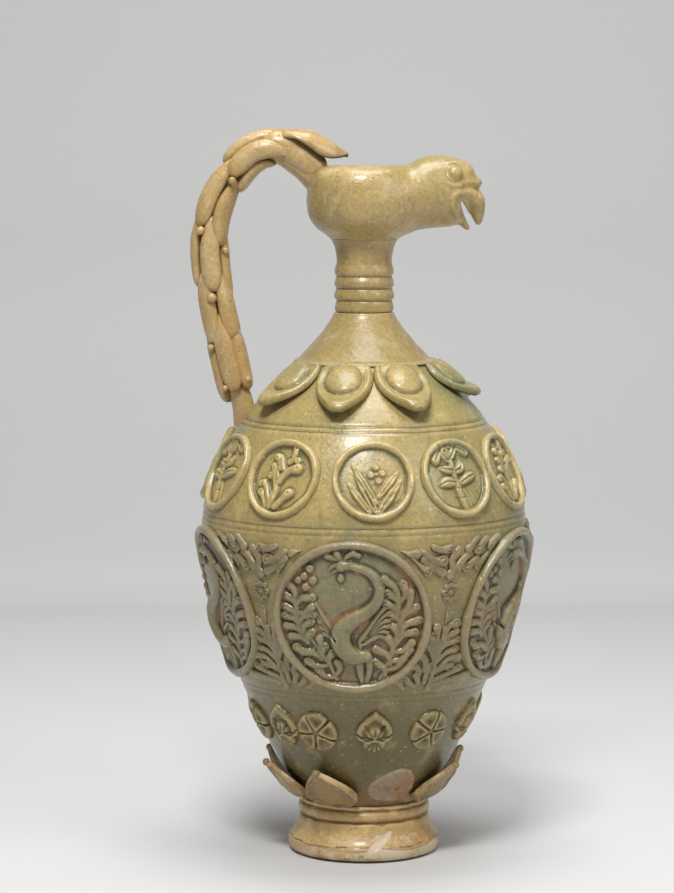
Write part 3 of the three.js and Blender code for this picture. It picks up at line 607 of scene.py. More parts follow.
def core_radius(along):
    """The core swells where it is pressed on the cup."""
    t = unit((50 - along) / 35)
    return 7 + 2.5 * t * t * (3 - 2 * t)


def on_handle(along, angle, lift):
    """Points off the handle's middle line, turned from its outer side towards the front."""
    x, z, slope_x, slope_z = handle.at(along)
    reach = core_radius(along) + lift
    side = reach * np.cos(angle)
    return points_of(x + side * slope_z, -reach * np.sin(angle), z - side * slope_x)


def core():
    rows, columns = 220, 48
    along = np.linspace(1, handle.length - 0.5, rows)[:, None]
    lift = 0.3 * smooth_noise((rows, columns), (30, 6), 8)
    verts = on_handle(along, around(columns), lift - 0.3)
    # The core is darkened where the leaves cover it, as painted shade between them
    shade_under_leaves = unit((206 - along) / 8) * unit((along - 30) / 8) * np.ones(columns)
    faces = grid_faces(rows, columns, wrap=True)
    piece("handle_core", verts, faces, glaze_handle, ("handle_core",), 0.02 + 0.4 * shade_under_leaves)


def leaf(name, middle, length, turn, span, tilt, seed):
    """A long pad of clay on the handle, narrow where it starts and blunt where it ends."""
    rows, columns = 48, 40
    along, side = eased(rows)[:, None], eased(columns)
    blunt = np.where(along > 0, 3.4, 2.2)
    half = (1 - np.abs(along) ** blunt).clip(0) ** 0.5 * (1 + 0.1 * along)
    dome = (1 - np.abs(side) ** 3).clip(0) ** 0.5 * (1 - np.abs(along) ** 8).clip(0) ** 0.5
    tucked = 0.3 + 0.7 * unit((along + 1) / 0.75) ** 0.7
    uneven = 0.94 + 0.06 * smooth_noise((rows, columns), (4, 4), seed)
    lift = LEAF_THICKNESS * dome * tucked * (1 + 0.04 * along) * uneven

    def at(share, side, lift):
        return on_handle(middle + share * length, turn + side * span + tilt * share * 2, lift)

    top, low = at(along / 2, half * side, lift), at(along * 0.48, half * side * 0.93, -0.4)
    # Pads darker towards their edges and on their undersides, as painted shade where they meet the core;
    # lighter on their domes where the glaze runs thin
    edge = np.interp(dome, [0, 0.45, 0.75, 1], [0.6, 0.22, -0.05, -0.2])
    slab(name, top, low, glaze_handle, (name,), both(edge, UNDERSIDE_SHADE))


# Rows of leaves as [distance along the handle, length, [angle from the outer side, shift] of each]
LEAF_ROWS = [
    (46, 44, ((5, -4), (88, 0), (172, 6), (275, 1))),
    (80, 47, ((48, -1), (134, 10), (226, 8), (312, 1))),
    (118, 49, ((3, -4), (90, 0), (178, 5), (268, -1))),
    (151, 46, ((45, 0), (135, 0), (225, 1), (315, -1))),
    (180, 51, ((0, 5), (86, 0), (154, 2), (260, 2))),
]


def leaves():
    for row, (middle, length, turns) in enumerate(LEAF_ROWS):
        for k, (degrees, shift) in enumerate(turns):
            turn = math.radians(degrees + random.uniform(-3, 3))
            span = math.radians(LEAF_SPAN + random.uniform(-1.5, 2))
            tilt = random.uniform(-0.07, 0.07)
            name = f"handle_leaf_{row + 2}{'abcd'[k]}"
            leaf(name, middle + shift, length, turn, span, tilt, seed=row * 10 + k)


# Balls of clay in the clefts as [distance along the handle, angle, radius]
BALLS = [
    (69, 100, 2.5), (104, 59, 2.7), (116, 150, 2.4), (145, 80, 3.2), (175, 37, 2.3), (201, 55, 2.0),
    (200, 138, 2.2), (104, 300, 2.6), (145, 270, 2.8), (175, 320, 2.4),
]


def balls():
    for k, (along, degrees, radius) in enumerate(BALLS):
        centre = on_handle(along, math.radians(degrees), BALL_LIFT)
        ball_at(f"handle_ball_{k + 1}", centre, radius, glaze_handle, 30 + k)


# The two leaves pressed together into a thick roll from the crown to the cup, as [reach, height from
# the neck joint, radius], and the side view of the leaf laid over them as [reach, top, underside]
FIRST_ROLL = [
    (-63.5, 55.5, 7.5), (-58.5, 58.6, 9.0), (-51, 58.6, 9.8), (-42.6, 53.2, 10.0), (-34.5, 47.2, 9.6),
    (-28.6, 41.8, 8.6), (-26.6, 39.6, 6.0),
]
END_LEAF = [
    (-55, 67.0, 62.0), (-52, 68.3, 62.3), (-48.4, 68.8, 63.3), (-43, 68.8, 62.8), (-38.2, 68.4, 60.4),
    (-33.1, 68.0, 57.0), (-26.8, 65.2, 52.6), (-20.4, 61.3, 51.0), (-14.6, 57.2, 51.5), (-11.6, 55.2, 52.4),
    (-9.8, 53.6, 53.0),
]


def first_roll():
    line = curve_through(FIRST_ROLL, 0.8)
    rows, columns = len(line), 48
    slope = directions(line[:, :2])
    turn = around(columns)
    cap = (1 - np.abs(np.linspace(-1, 1, rows)[:, None]) ** 9).clip(0.02) ** 0.5
    radius = line[:, 2:] * cap * (1 + 0.04 * smooth_noise((rows, columns), (6, 5), 61))
    seam = np.exp(-((np.sin(turn) ** 2) / 0.012)) * (np.cos(turn) < 0)
    radius = radius * (1 - 0.14 * seam)
    out = radius * np.cos(turn)
    x = line[:, :1] - out * slope[:, 1:]
    z = line[:, 1:2] + out * slope[:, :1] + HEAD_BASE
    verts = points_of(x, -1.12 * radius * np.sin(turn), z)
    # Darker at the roll's ends and in its seam, as painted shade where it meets the cup and the crown and
    # where the two leaves are pressed together
    relief = 0.55 * (1 - cap) + 0.3 * seam - 0.12
    faces = grid_faces(rows, columns, wrap=True)
    nodes = ("handle_leaf_1a", "handle_leaf_1b")
    piece("handle_leaf_1", verts, faces, glaze_handle, nodes, relief)


def end_leaf():
    """A leaf draped over the roll: its edges hang down on both sides and its tip turns up."""
    line = curve_through(END_LEAF, 0.6)
    rows, columns = len(line), 45
    share, side = np.linspace(0, 1, rows)[:, None], eased(columns)
    wide = 13.6 * np.sin(math.pi * (0.06 + 0.92 * share) ** 0.85).clip(0.04) ** 0.62
    x, top, under = line[:, :1], line[:, 1:2], line[:, 2:]
    arch = (1 - np.abs(side) ** 2.6).clip(0) ** 0.55
    noise = 0.25 * smooth_noise((rows, columns), (6, 5), 77)
    vein = 0.75 * bell(np.abs(side) - 0.42, 0.05) * np.sin(math.pi * share)
    upper = under + (top - under) * arch + (noise - vein) * arch
    lower = under + (top - under - 4.0) * arch * (0.9 * np.sin(math.pi * share) ** 0.3) - 0.6
    lower = np.minimum(lower, upper - 0.1)
    top = points_of(x, wide * side, upper + HEAD_BASE)
    low = points_of(x, wide * side * 0.95, lower + HEAD_BASE)
    shade = np.interp(arch + 0 * share, [0, 0.4, 0.8, 1], [0.3, 0.05, -0.1, -0.25]) + 0.8 * vein
    name = "handle_leaf_end"
    slab(name, top, low, glaze_handle, (name,), both(shade, UNDERSIDE_SHADE))


core()
leaves()
balls()
first_roll()
end_leaf()


# Blended forms: a field that is negative inside, and the surface where it is zero


class Field:
    """Round forms joined softly on a grid, in millimetres."""

    def __init__(self, low, high, pitch):
        self.low, self.pitch = np.array(low, np.float32), pitch
        self.axes = [np.arange(a, b + pitch, pitch, dtype=np.float32) for a, b in zip(low, high)]
        self.value = np.full([len(axis) for axis in self.axes], 50.0, np.float32)

    def window(self, low, high):
        """The part of the grid between two corners, as slices and broadcast coordinates."""
        parts = []
        for axis, a, b in zip(self.axes, low, high):
            parts.append(slice(int(np.searchsorted(axis, a)), int(np.searchsorted(axis, b)) + 1))
        x, y, z = (axis[part] for axis, part in zip(self.axes, parts))
        return tuple(parts), x[:, None, None], y[None, :, None], z[None, None, :]

    def join(self, parts, distance, soft):
        old = self.value[parts]
        h = np.clip(0.5 + 0.5 * (old - distance) / soft, 0, 1)
        self.value[parts] = old * (1 - h) + distance * h - soft * h * (1 - h)

    def cut(self, parts, distance, soft):
        old = self.value[parts]
        h = np.clip(0.5 - 0.5 * (old + distance) / soft, 0, 1)
        self.value[parts] = old * (1 - h) - distance * h + soft * h * (1 - h)

    def string(self, points, soft, wide=1.0, cut=False):
        """Balls in a row along points of [x, y, z, radius], stretched across by wide."""
        line = curve_through(points, 0.7)
        reach = line[:, 3].max() * wide + 3 * soft + 1
        parts, x, y, z = self.window(line[:, :3].min(0) - reach, line[:, :3].max(0) + reach)
        distance = np.full(np.broadcast_shapes(x.shape, y.shape, z.shape), 50.0, np.float32)
        for px, py, pz, radius in line:
            gap = np.sqrt((x - px) ** 2 + ((y - py) / wide) ** 2 + (z - pz) ** 2) - radius
            np.minimum(distance, gap, out=distance)
        (self.cut if cut else self.join)(parts, distance, soft)

    def surface(self):
        """The zero surface as points and quads: one point in each cell that it crosses."""
        value = self.value
        cells = np.array(value.shape) - 1
        total = np.zeros((*cells, 3), np.float32)
        count = np.zeros(cells, np.int8)
        crossings = []
        for axis in range(3):
            low = [slice(None)] * 3
            high = [slice(None)] * 3
            low[axis], high[axis] = slice(0, -1), slice(1, None)
            a, b = value[tuple(low)], value[tuple(high)]
            crossed = (a < 0) != (b < 0)
            share = np.where(crossed, a / np.where(crossed, a - b, 1), 0)
            crossings.append((crossed, a < 0))
            one, two = (axis + 1) % 3, (axis + 2) % 3
            for i in (0, 1):
                for j in (0, 1):
                    part = [slice(None)] * 3
                    part[one], part[two] = slice(i, i + cells[one]), slice(j, j + cells[two])
                    hit = crossed[tuple(part)]
                    count += hit
                    total[..., axis] += share[tuple(part)]
                    total[..., one] += i * hit
                    total[..., two] += j * hit
        used = count > 0
        index = np.full(cells, -1, np.int64)
        index[used] = np.arange(used.sum())
        verts = self.low + self.pitch * (np.argwhere(used) + total[used] / count[used][:, None])
        faces = []
        for axis, (crossed, inside) in enumerate(crossings):
            one, two = (axis + 1) % 3, (axis + 2) % 3
            at = np.argwhere(crossed)
            for side in (one, two):
                at = at[(at[:, side] > 0) & (at[:, side] < cells[side])]
            corners = []
            for i, j in ((1, 1), (0, 1), (0, 0), (1, 0)):
                cell = at.copy()
                cell[:, one] -= i
                cell[:, two] -= j
                corners.append(index[tuple(cell.T)])
            quad = np.stack(corners, 1)
            out = inside[tuple(at.T)]
            faces += [quad[out], quad[~out][:, ::-1]]
        return verts.astype(float), np.vstack(faces)


def turned_distance(field, outline_points):
    """Distance to a turned form, whose closed half outline is [radius, height] points."""
    radii = np.arange(0, 62, 0.3)
    heights = field.axes[2]
    r, z = np.meshgrid(radii, heights, indexing="ij")
    best = np.full(r.shape, 1e6)
    inside = np.zeros(r.shape, bool)
    points = np.asarray(outline_points, float)
    for (ax, az), (bx, bz) in zip(points, np.roll(points, -1, axis=0)):
        dx, dz = bx - ax, bz - az
        if ax > 0.01 or bx > 0.01:
            t = np.clip(((r - ax) * dx + (z - az) * dz) / (dx * dx + dz * dz), 0, 1)
            best = np.minimum(best, (r - ax - t * dx) ** 2 + (z - az - t * dz) ** 2)
        if az != bz:
            crosses = ((az > z) != (bz > z)) & (r < ax + dx * (z - az) / dz)
            inside ^= crosses
    table = np.where(inside, -1, 1) * np.sqrt(best)
    reach = np.hypot(field.axes[0][:, None], field.axes[1][None, :]) / 0.3
    low = np.minimum(reach.astype(int), len(radii) - 2)
    share = (reach - low)[..., None]
    return (table[low] * (1 - share) + table[low + 1] * share).astype(np.float32)


# Cup mouth and bird's head, with heights from the neck joint

# The head from the cup to the brow as [share of its length, underside, top, half width]
HEAD_STATIONS = [
    (0.0, 0.08, 0.74, 1.55), (0.1, 0.07, 0.78, 1.5), (0.32, 0.075, 0.84, 1.34), (0.5, 0.12, 0.965, 1.16),
    (0.66, 0.145, 1, 1), (0.8, 0.165, 0.975, 0.85), (0.9, 0.24, 0.935, 0.66), (0.97, 0.40, 0.87, 0.42),
    (1.005, 0.56, 0.76, 0.12),
]

head_line = curve_through(HEAD_STATIONS, 0.01)


def head_at(x):
    """Middle height, half height and half width of the head at a reach."""
    share = x / HEAD_LENGTH
    low, high, half = (np.interp(share, head_line[:, 0], head_line[:, k]) for k in (1, 2, 3))
    return CROWN * (low + high) / 2, CROWN * (high - low) / 2, HEAD_HALF * half


def head_side(x, z):
    middle, tall, half = head_at(x)
    return half * np.sqrt(np.clip(1 - ((z - middle) / tall) ** 2, 0.02, 1))


# Side of the cup below and above its widest place, as shares of the swell and of the rise
CUP_BELOW = [(0, 0), (0.28, 0.13), (0.62, 0.27), (0.9, 0.5), (1, 0.78), (1, 1)]
CUP_ABOVE = [(0.93, 0.45), (0.72, 0.78), (0.3, 1)]


def bowl_outline(grow):
    """The cup's outline, grown by some mm, as [radius, height] points."""
    below = [(20.2 + 15.6 * out + grow, 28 * up - grow * (1 - up)) for out, up in CUP_BELOW]
    above = [(21 + 14.8 * out + grow * 0.9, CUP_HEIGHT - 18 * (1 - up) + grow * up) for out, up in CUP_ABOVE]
    return curve_through(below + above, 0.8)


# Rolls and grooves on each side of the face as [reach, height, radius]
LIP = [
    (63.4, 29.6, 2.3), (57.4, 29.0, 2.5), (54.2, 25.2, 2.6), (54.4, 20.0, 2.5),
    (57.4, 15.4, 2.2), (61.0, 11.4, 1.7),
]
BROW = [(52, 47.4, 0.9), (58, 47.2, 1.5), (63.4, 44.4, 2.0), (67.4, 39.8, 1.5)]
CHEEK = [(49.5, 35.5, 1.0), (55, 33.6, 1.3), (61, 34.6, 1.5), (66.5, 36.0, 1.3)]
# Rolls of the beak, the lower jaw and the lump of the nostrils as [reach, sideways, height, radius]
BEAK_ROOT = [(59.5, 0, 29.0, 6.0), (65.0, 0, 27.6, 6.3), (68.6, 0, 24.2, 6.0)]
BEAK = [
    (67.4, 0, 25.0, 6.2), (69.2, 0, 21.6, 5.8), (70.3, 0, 17.0, 4.3), (70.7, 0, 13.2, 3.0),
    (70.9, 0, 10.8, 1.8),
]
HOOK = [
    (62, 12.4, 29.6, 2.4), (65.4, 10.2, 28.8, 2.9), (68.4, 7.6, 26.2, 3.2), (70.6, 4.8, 22.2, 3.1),
    (71.2, 2.4, 17, 2.3),
]
JAW = [(55.5, 0, 17.5, 5.4), (59.3, 0, 13.8, 4.0), (62.4, 0, 10.0, 2.7), (64.0, 0, 7.6, 1.7)]
LUMP = [(62, 0, 34.5, 5.0), (67.0, 0, 35.2, 5.0), (69.6, 0, 35.6, 3.5)]
LUMP_SIDE = [(65.5, 5.4, 35.0, 2.2), (69.4, 4.4, 35.0, 2.2)]
NOSTRIL = [(69.9, 8.6, 29.2, 0.8), (70.6, 8.4, 27.6, 0.8)]
EYE = (55.2, 40.4)
EYE_RADIUS = 5.6
EYE_SUNK = 3.5
LID_RADIUS = 4.6
# Corner and end of the mouth as [reach, height]
MOUTH = ((60.2, 23.6), (67.4, 6.5))


def face(field):
    """The rolls and grooves that make the beak, the brows and the eyes."""
    field.string(BEAK_ROOT, 2.4, wide=1.6)
    field.string(BEAK, 2.2, wide=1.3)
    field.string(JAW, 1.8, wide=1.45)
    field.string(LUMP, 1.6, wide=1.6)
    for side in (-1, 1):
        lump, hook, nostril = (
            [(x, side * y, z, radius) for x, y, z, radius in line] for line in (LUMP_SIDE, HOOK, NOSTRIL)
        )
        field.string(lump, 1.0)
        field.string(hook, 2.2)
        for line, sunk, soft in ((LIP, 1.3, 0.8), (BROW, 1.1, 2.2), (CHEEK, 0.9, 1.2)):
            field.string([(x, side * (head_side(x, z) - sunk), z, radius) for x, z, radius in line], soft)
        ring = np.linspace(0, 2 * math.pi, 25)
        x, z = EYE[0] + LID_RADIUS * np.cos(ring), EYE[1] + LID_RADIUS * np.sin(ring)
        groove = np.stack([x, side * (head_side(x, z) + 0.1), z, np.full(25, 0.7)], 1)
        field.string(groove, 0.3, cut=True)
        eye = (EYE[0], side * (head_side(*EYE) - EYE_SUNK), EYE[1], EYE_RADIUS)
        field.string([eye, eye], 0.3)
        field.string(nostril, 0.5, cut=True)


def bird_head():
    field = Field((-40, -39, -2.5), (79, 39, 56), 0.6)
    parts, x, y, z = field.window((-99, -99, -99), (99, 99, 99))
    field.value = turned_distance(field, [(0, 0), *bowl_outline(0), (0, CUP_HEIGHT)])
    front = HEAD_LENGTH * 1.005
    middle, tall, half = (values.astype(np.float32) for values in head_at(np.clip(x, 0, front)))
    thin = np.minimum(half, tall)
    form = (np.sqrt((y / half) ** 2 + ((z - middle) / tall) ** 2) - 1) * thin
    form = np.maximum(form, np.maximum(x - front, 2 - x))
    field.join(parts, form, 5.0)
    face(field)

    # Hollow of the cup, of the head and of the neck's top
    hollow = [point for point in bowl_outline(-CUP_WALL) if point[1] > CUP_WALL]
    hollow = [(0, CUP_WALL), (18.2, CUP_WALL), *hollow, (MOUTH_RADIUS, 41.5), (MOUTH_RADIUS, 60), (0, 60)]
    field.cut(parts, turned_distance(field, hollow), 1.6)
    inner = (np.sqrt((y / (half - CUP_WALL)) ** 2 + ((z - middle) / (tall - CUP_WALL)) ** 2) - 1) * thin
    inner = np.maximum(inner, np.maximum(x - HEAD_LENGTH * 0.78, 3 - x))
    field.cut(parts, inner, 2.0)
    field.cut(parts, turned_distance(field, [(0, -9), (NECK_BORE, -9), (NECK_BORE, 6), (0, 6)]), 0.6)

    # The slit between the beaks, widest in its middle
    parts, x, y, z = field.window((50, -39, -5), (79, 39, 32))
    (ax, az), (bx, bz) = MOUTH
    t = unit(((x - ax) * (bx - ax) + (z - az) * (bz - az)) / ((bx - ax) ** 2 + (bz - az) ** 2))
    away = np.hypot(x - ax - t * (bx - ax), z - az - t * (bz - az))
    slit = away - (0.8 + 0.85 * np.sin(math.pi * t**0.8))
    field.cut(parts, slit.astype(np.float32), 0.7)

    verts, faces = field.surface()
    verts = smoothed(verts, edges_of(faces), 3, 0.5)
    noise = np.sin(verts[:, 0] * 0.21 + 1) * np.sin(verts[:, 1] * 0.17) * np.sin(verts[:, 2] * 0.19 + 2)
    verts[:, 2] += HEAD_BASE + 0.25 * noise
    nodes = ("bird_head", "upper_beak", "lower_beak", "nostril_lump", "eye_right", "eye_left")
    piece("bird_head", verts, faces, glaze_neck, nodes)


bird_head()


# Reliefs: heights over a patch of wall, built up from rolls and balls of clay


def soften(values, sigma):
    """A grid blurred by sigma cells."""
    reach = max(1, int(3 * sigma))
    weights = np.exp(-0.5 * (np.arange(-reach, reach + 1) / sigma) ** 2)
    weights /= weights.sum()
    for axis in (0, 1):
        padded = np.pad(values, [(reach, reach) if k == axis else (0, 0) for k in (0, 1)], mode="edge")
        size = values.shape[axis]
        spans = [np.arange(i, i + size) for i in range(len(weights))]
        values = sum(weight * padded.take(span, axis) for weight, span in zip(weights, spans))
    return values


class Relief:
    """Heights over a patch of wall, raised by balls and rolls of clay and pressed in by grooves."""

    def __init__(self, half_across, half_up, pitch=0.42):
        self.pitch = pitch
        self.half_across, self.half_up = half_across, half_up
        across = np.arange(-half_across, half_across + pitch / 2, pitch)
        up = np.arange(-half_up, half_up + pitch / 2, pitch)
        self.across, self.up = np.meshgrid(across, up)
        self.height = np.zeros(self.across.shape)
        self.pressed = []

    def near(self, x, y, radius):
        i = int((y - radius + self.half_up) / self.pitch)
        j = int((x - radius + self.half_across) / self.pitch)
        size = int(2 * radius / self.pitch) + 3
        part = (slice(max(0, i), max(0, i + size)), slice(max(0, j), max(0, j + size)))
        return part, (self.across[part] - x) ** 2 + (self.up[part] - y) ** 2

    def ball(self, x, y, radius, rise=0.95, base=0.0):
        part, gap = self.near(x, y, radius)
        bump = np.where(gap < radius**2, base + rise * np.sqrt(np.clip(radius**2 - gap, 0, None)), 0)
        self.height[part] = np.maximum(self.height[part], bump)

    def roll(self, points, rise=0.95, base=0.0):
        """A roll of clay through [across, up, radius] points."""
        for x, y, radius in curve_through(points, 0.35):
            self.ball(x, y, max(radius, 0.3), rise, base)

    def groove(self, points, width, depth):
        line = curve_through(points, 0.4)
        lowest = np.full(self.height.shape, 1e3)
        for x, y in line:
            part, gap = self.near(x, y, 3 * width)
            lowest[part] = np.minimum(lowest[part], gap)
        self.height -= depth * np.exp(-lowest / width**2)

    def dimple(self, x, y, radius, depth):
        part, gap = self.near(x, y, 2.5 * radius)
        self.height[part] -= depth * np.exp(-gap / radius**2)

    def bead(self, x, y, radius):
        """A ball with a hole pressed in it."""
        self.ball(x, y, radius)
        self.dimple(x, y, radius * 0.36, 0.9)

    def comma(self, points, curl, rise=0.75):
        """A roll that ends in a round head, in which a spiral is pressed where it curls."""
        self.roll(points, rise, 0.45)
        x, y, radius = points[-1]
        before = np.array(points[-2][:2]) - (x, y)
        if curl:
            start = math.atan2(before[1], before[0])
            turns = start + curl * np.linspace(0.7, 4.6, 9)
            reach = radius * np.linspace(0.66, 0.16, 9)
            self.pressed.append(np.stack([x + reach * np.cos(turns), y + reach * np.sin(turns)], 1))

    def lay(self, name, azimuth, height, material, nodes=(), ground=None):
        """Lays the relief on the wall. Where ground is given, the patch's own floor lies inside it."""
        for line in self.pressed:
            self.groove(line, 0.55, 1.15)
        shape = soften(self.height, 0.6)
        # Hollows between the rolls and balls, which the glaze darkens partly as pooled glaze and partly as
        # painted shade
        relief = soften(shape, 3.2) - shape
        if ground is None:
            cover = unit(self.height / 0.5)
        else:
            cover = (np.hypot(self.across, self.up) < ground).astype(float)
        lift = shape + 0.12 - 1.1 * (1 - soften(cover, 0.7))
        verts = on_wall(azimuth, along_at(height), self.across, self.up, lift)
        faces = grid_faces(*lift.shape)
        faces = faces[(lift.ravel()[faces] > -0.75).any(1)]
        used = np.unique(faces)
        renumber = np.full(lift.size, -1)
        renumber[used] = np.arange(len(used))
        piece(name, verts.reshape(-1, 3)[used], renumber[faces], material, nodes, relief.ravel()[used])


def ring(relief, radius, width, seed):
    """A border of rolled clay, slightly uneven."""
    wave = np.random.default_rng(seed).uniform(-0.4, 0.4, 9)
    middle = radius - width / 2
    for k in range(int(2 * math.pi * middle / 0.4)):
        turn = 0.4 * k / middle
        uneven = wave[0] * math.sin(2 * turn + wave[1] * 9) + wave[2] * math.sin(3 * turn + wave[3] * 9)
        thick = 1 + 0.07 * math.sin(5 * turn + wave[4] * 9) + 0.05 * math.sin(11 * turn + wave[5] * 9)
        reach = middle + uneven * 0.6
        relief.ball(reach * math.cos(turn), reach * math.sin(turn), width / 2 * thick, RING_RISE)


# Rise of a rolled ring over its half width, and how far the ground of a patch ends inside the ring
RING_RISE = 1.42
RING_OVERLAP = 0.8

# The bird, its crest, wings and legs, and the ferns, as [across, up, radius] from the medallion's middle
BIRD = [
    (-5.5, 33.2, 3.4), (-1.0, 33.6, 2.7), (3.7, 32.4, 2.6), (9.6, 30.4, 2.8), (14.8, 25.6, 3.2),
    (17.2, 18.6, 3.5), (15.4, 11.6, 3.7), (9.8, 5.4, 4.1), (1.8, 0.6, 5.0), (-4.4, -5.2, 5.9),
    (-6.6, -12.4, 6.4), (-4.2, -19.6, 6.1), (1.6, -24.2, 5.2), (8.0, -24.0, 4.2),
]
CREST = [
    [(-5.5, 36.4, 1.0), (-10.0, 37.6, 1.5), (-14.1, 39.4, 2.4)],
    [(-5.5, 36.4, 1.2), (-7.0, 38.6, 1.8), (-8.1, 40.8, 2.5)],
    [(-4.2, 35.8, 1.1), (-1.6, 39.2, 1.6), (1.6, 41.0, 2.4), (4.6, 39.9, 2.2)],
]
BILL = [
    [(-6.5, 34.2, 2.0), (-10.4, 33.0, 1.4), (-13.4, 30.6, 0.7)],
    [(-6.5, 31.6, 1.8), (-9.4, 30.0, 1.1), (-12.0, 28.4, 0.6)],
]
NAPE = [[(-1, 34.4), (5, 33.6), (12, 30.6), (16, 26)], [(-1, 32.8), (5, 31.6), (11, 28.4), (14, 24)]]
LEFT_WING = [(-21.5, 9.0), (-20.6, 4.0), (-19.6, -1.0), (-18.4, -5.6), (-16.8, -10.0)]
RIGHT_WING = [(21.6, 8.2), (22.4, 4.0), (22.8, -0.4), (22.6, -4.6), (21.4, -8.6), (19.4, -12.2)]
LEGS = [
    [(4.4, -25.6, 3.2), (4.6, -32.4, 2.7), (5.2, -39.0, 2.1), (6.2, -45.2, 1.7)],
    [(9.8, -25.0, 3.0), (10.2, -32.0, 2.5), (9.0, -39.0, 2.0), (7.4, -45.2, 1.7)],
    [(5.0, -19.6, 1.5), (5.4, -13.8, 1.7), (8.6, -8.6, 1.6)],
]
STEMS = [
    [
        (-9.7, -40.3, 1.5), (-13.9, -30.2, 1.4), (-21.2, -18.7, 1.3), (-29.0, -6.7, 1.3), (-33.9, 6.7, 1.1),
        (-34.5, 11.7, 0.8),
    ],
    [
        (16.3, -40.3, 1.5), (21.2, -28.9, 1.4), (24.8, -16.2, 1.3), (27.8, -3.5, 1.3), (29.6, 10.5, 1.1),
        (29.0, 15.6, 0.8),
    ],
]
# Shoots as [base across, base up, tip across, tip up, way of the curl]
FRONDS = [
    (-34.2, 10.5, -39.3, 21.9, 0), (-33.3, 4.1, -40.5, 13.7, 1), (-32.7, -2.9, -41.1, 6.7, 1),
    (-31.5, -6.7, -41.1, 1.0, 1), (-29.6, -11.1, -40.5, -5.7, 0), (-26.6, -16.2, -37.5, -12.4, 0),
    (-23.6, -21.3, -34.5, -19.4, -1), (-18.1, -27.0, -30.2, -22.5, 0), (-15.1, -30.8, -27.2, -28.3, -1),
    (-10.9, -39.1, -20.6, -34.0, -1), (-33.9, 7.9, -23.9, 13.0, -1), (-33.3, 2.9, -23.9, 7.3, 0),
    (-32.1, -3.5, -23.6, 2.2, -1), (-29.6, -10.5, -24.8, -2.2, -1), (-27.2, -16.2, -24.2, -9.2, -1),
    (-20.6, -22.5, -19.4, -13.0, 0), (-15.7, -27.6, -16.3, -18.1, -1), (-12.7, -32.1, -11.5, -21.9, -1),
    (-9.7, -37.1, -8.5, -28.3, 0), (29.0, 10.5, 31.5, 21.9, 1), (29.6, 2.9, 35.7, 16.8, 0),
    (29.0, -6.0, 39.3, 7.3, -1), (28.4, -11.7, 41.1, -1.0, -1), (26.6, -16.8, 38.1, -8.6, -1),
    (24.2, -21.9, 36.3, -15.6, 0), (22.4, -28.3, 35.1, -20.0, 0), (20.0, -34.0, 30.9, -25.7, 0),
    (29.0, 9.8, 20.0, 25.1, 0), (28.4, 4.8, 21.8, 16.8, 1), (27.8, -0.3, 20.6, 10.5, 1),
    (29.0, -4.8, 23.0, 3.5, 1), (26.0, -14.9, 25.4, -4.8, 0), (23.0, -25.1, 21.8, -12.4, 0),
    (23.0, -30.2, 14.5, -20.0, 1), (19.4, -39.1, 13.9, -28.3, 1),
]
ROSETTE = [
    (-28.4, 26.4, 2.1), (-31.5, 31.4, 2.1), (-24.8, 31.1, 2.2), (-23.0, 23.8, 2.2), (-27.5, 19.7, 2.2),
    (-32.1, 23.8, 2.1),
]
# Plants on the roundels
BLADES = [
    [(-12.6, 9.8), (1.2, -13.5)],
    [(-10.8, 3.5), (0.6, -18.0)],
    [(-15.0, -2.2), (-2.4, -19.8)],
    [(15.0, 5.4), (3.0, -9.8)],
    [(16.8, 0.3), (4.2, -16.7)],
    [(13.8, -5.4), (3.0, -19.8)],
    [(-6.0, -4.1), (1.2, -19.8)],
]
BLADE_FLOWER = [
    (1.8, 4.1, 1.2), (1.5, 8.2, 1.9), (5.4, 4.4, 1.9), (3.0, -0.3, 1.9), (-1.5, 3.5, 1.9),
]
BAMBOO = [
    [
        (1.3, -20.2, 2.0), (-0.7, -12.6, 2.0), (-2.0, -5.0, 2.0), (-2.6, 2.5, 1.7), (-2.6, 11.3, 1.6),
        (-3.3, 18.9, 1.3),
    ],
    [(4.6, -20.2, 1.3), (4.0, -12.6, 1.3), (1.3, -7.6, 1.3)],
    [(-14.5, -4.4, 0.7), (-9.2, -2.5, 3.0), (-3.3, -3.1, 2.0)],
    [(14.5, 1.3, 0.7), (8.6, 0.0, 2.6), (1.3, -3.1, 2.0)],
    [(-10.6, 6.3, 1.0), (-6.6, 5.0, 2.4), (-2.6, 4.4, 2.0)],
    [(5.3, 10.1, 0.8), (3.3, 5.7, 2.4), (-1.3, 3.8, 2.0)],
    [(-9.2, 20.2, 0.9), (-7.3, 15.1, 2.2), (-4.0, 11.3, 1.6)],
    [(4.0, 19.5, 0.9), (0.7, 15.8, 2.1), (-2.6, 12.0, 1.6)],
    [(-13.2, 11.3, 2.6), (-9.9, 15.8, 2.0), (-6.6, 18.9, 2.0)],
    [(10.6, 15.1, 2.2), (5.3, 18.3, 2.0), (-0.7, 20.2, 1.7)],
]
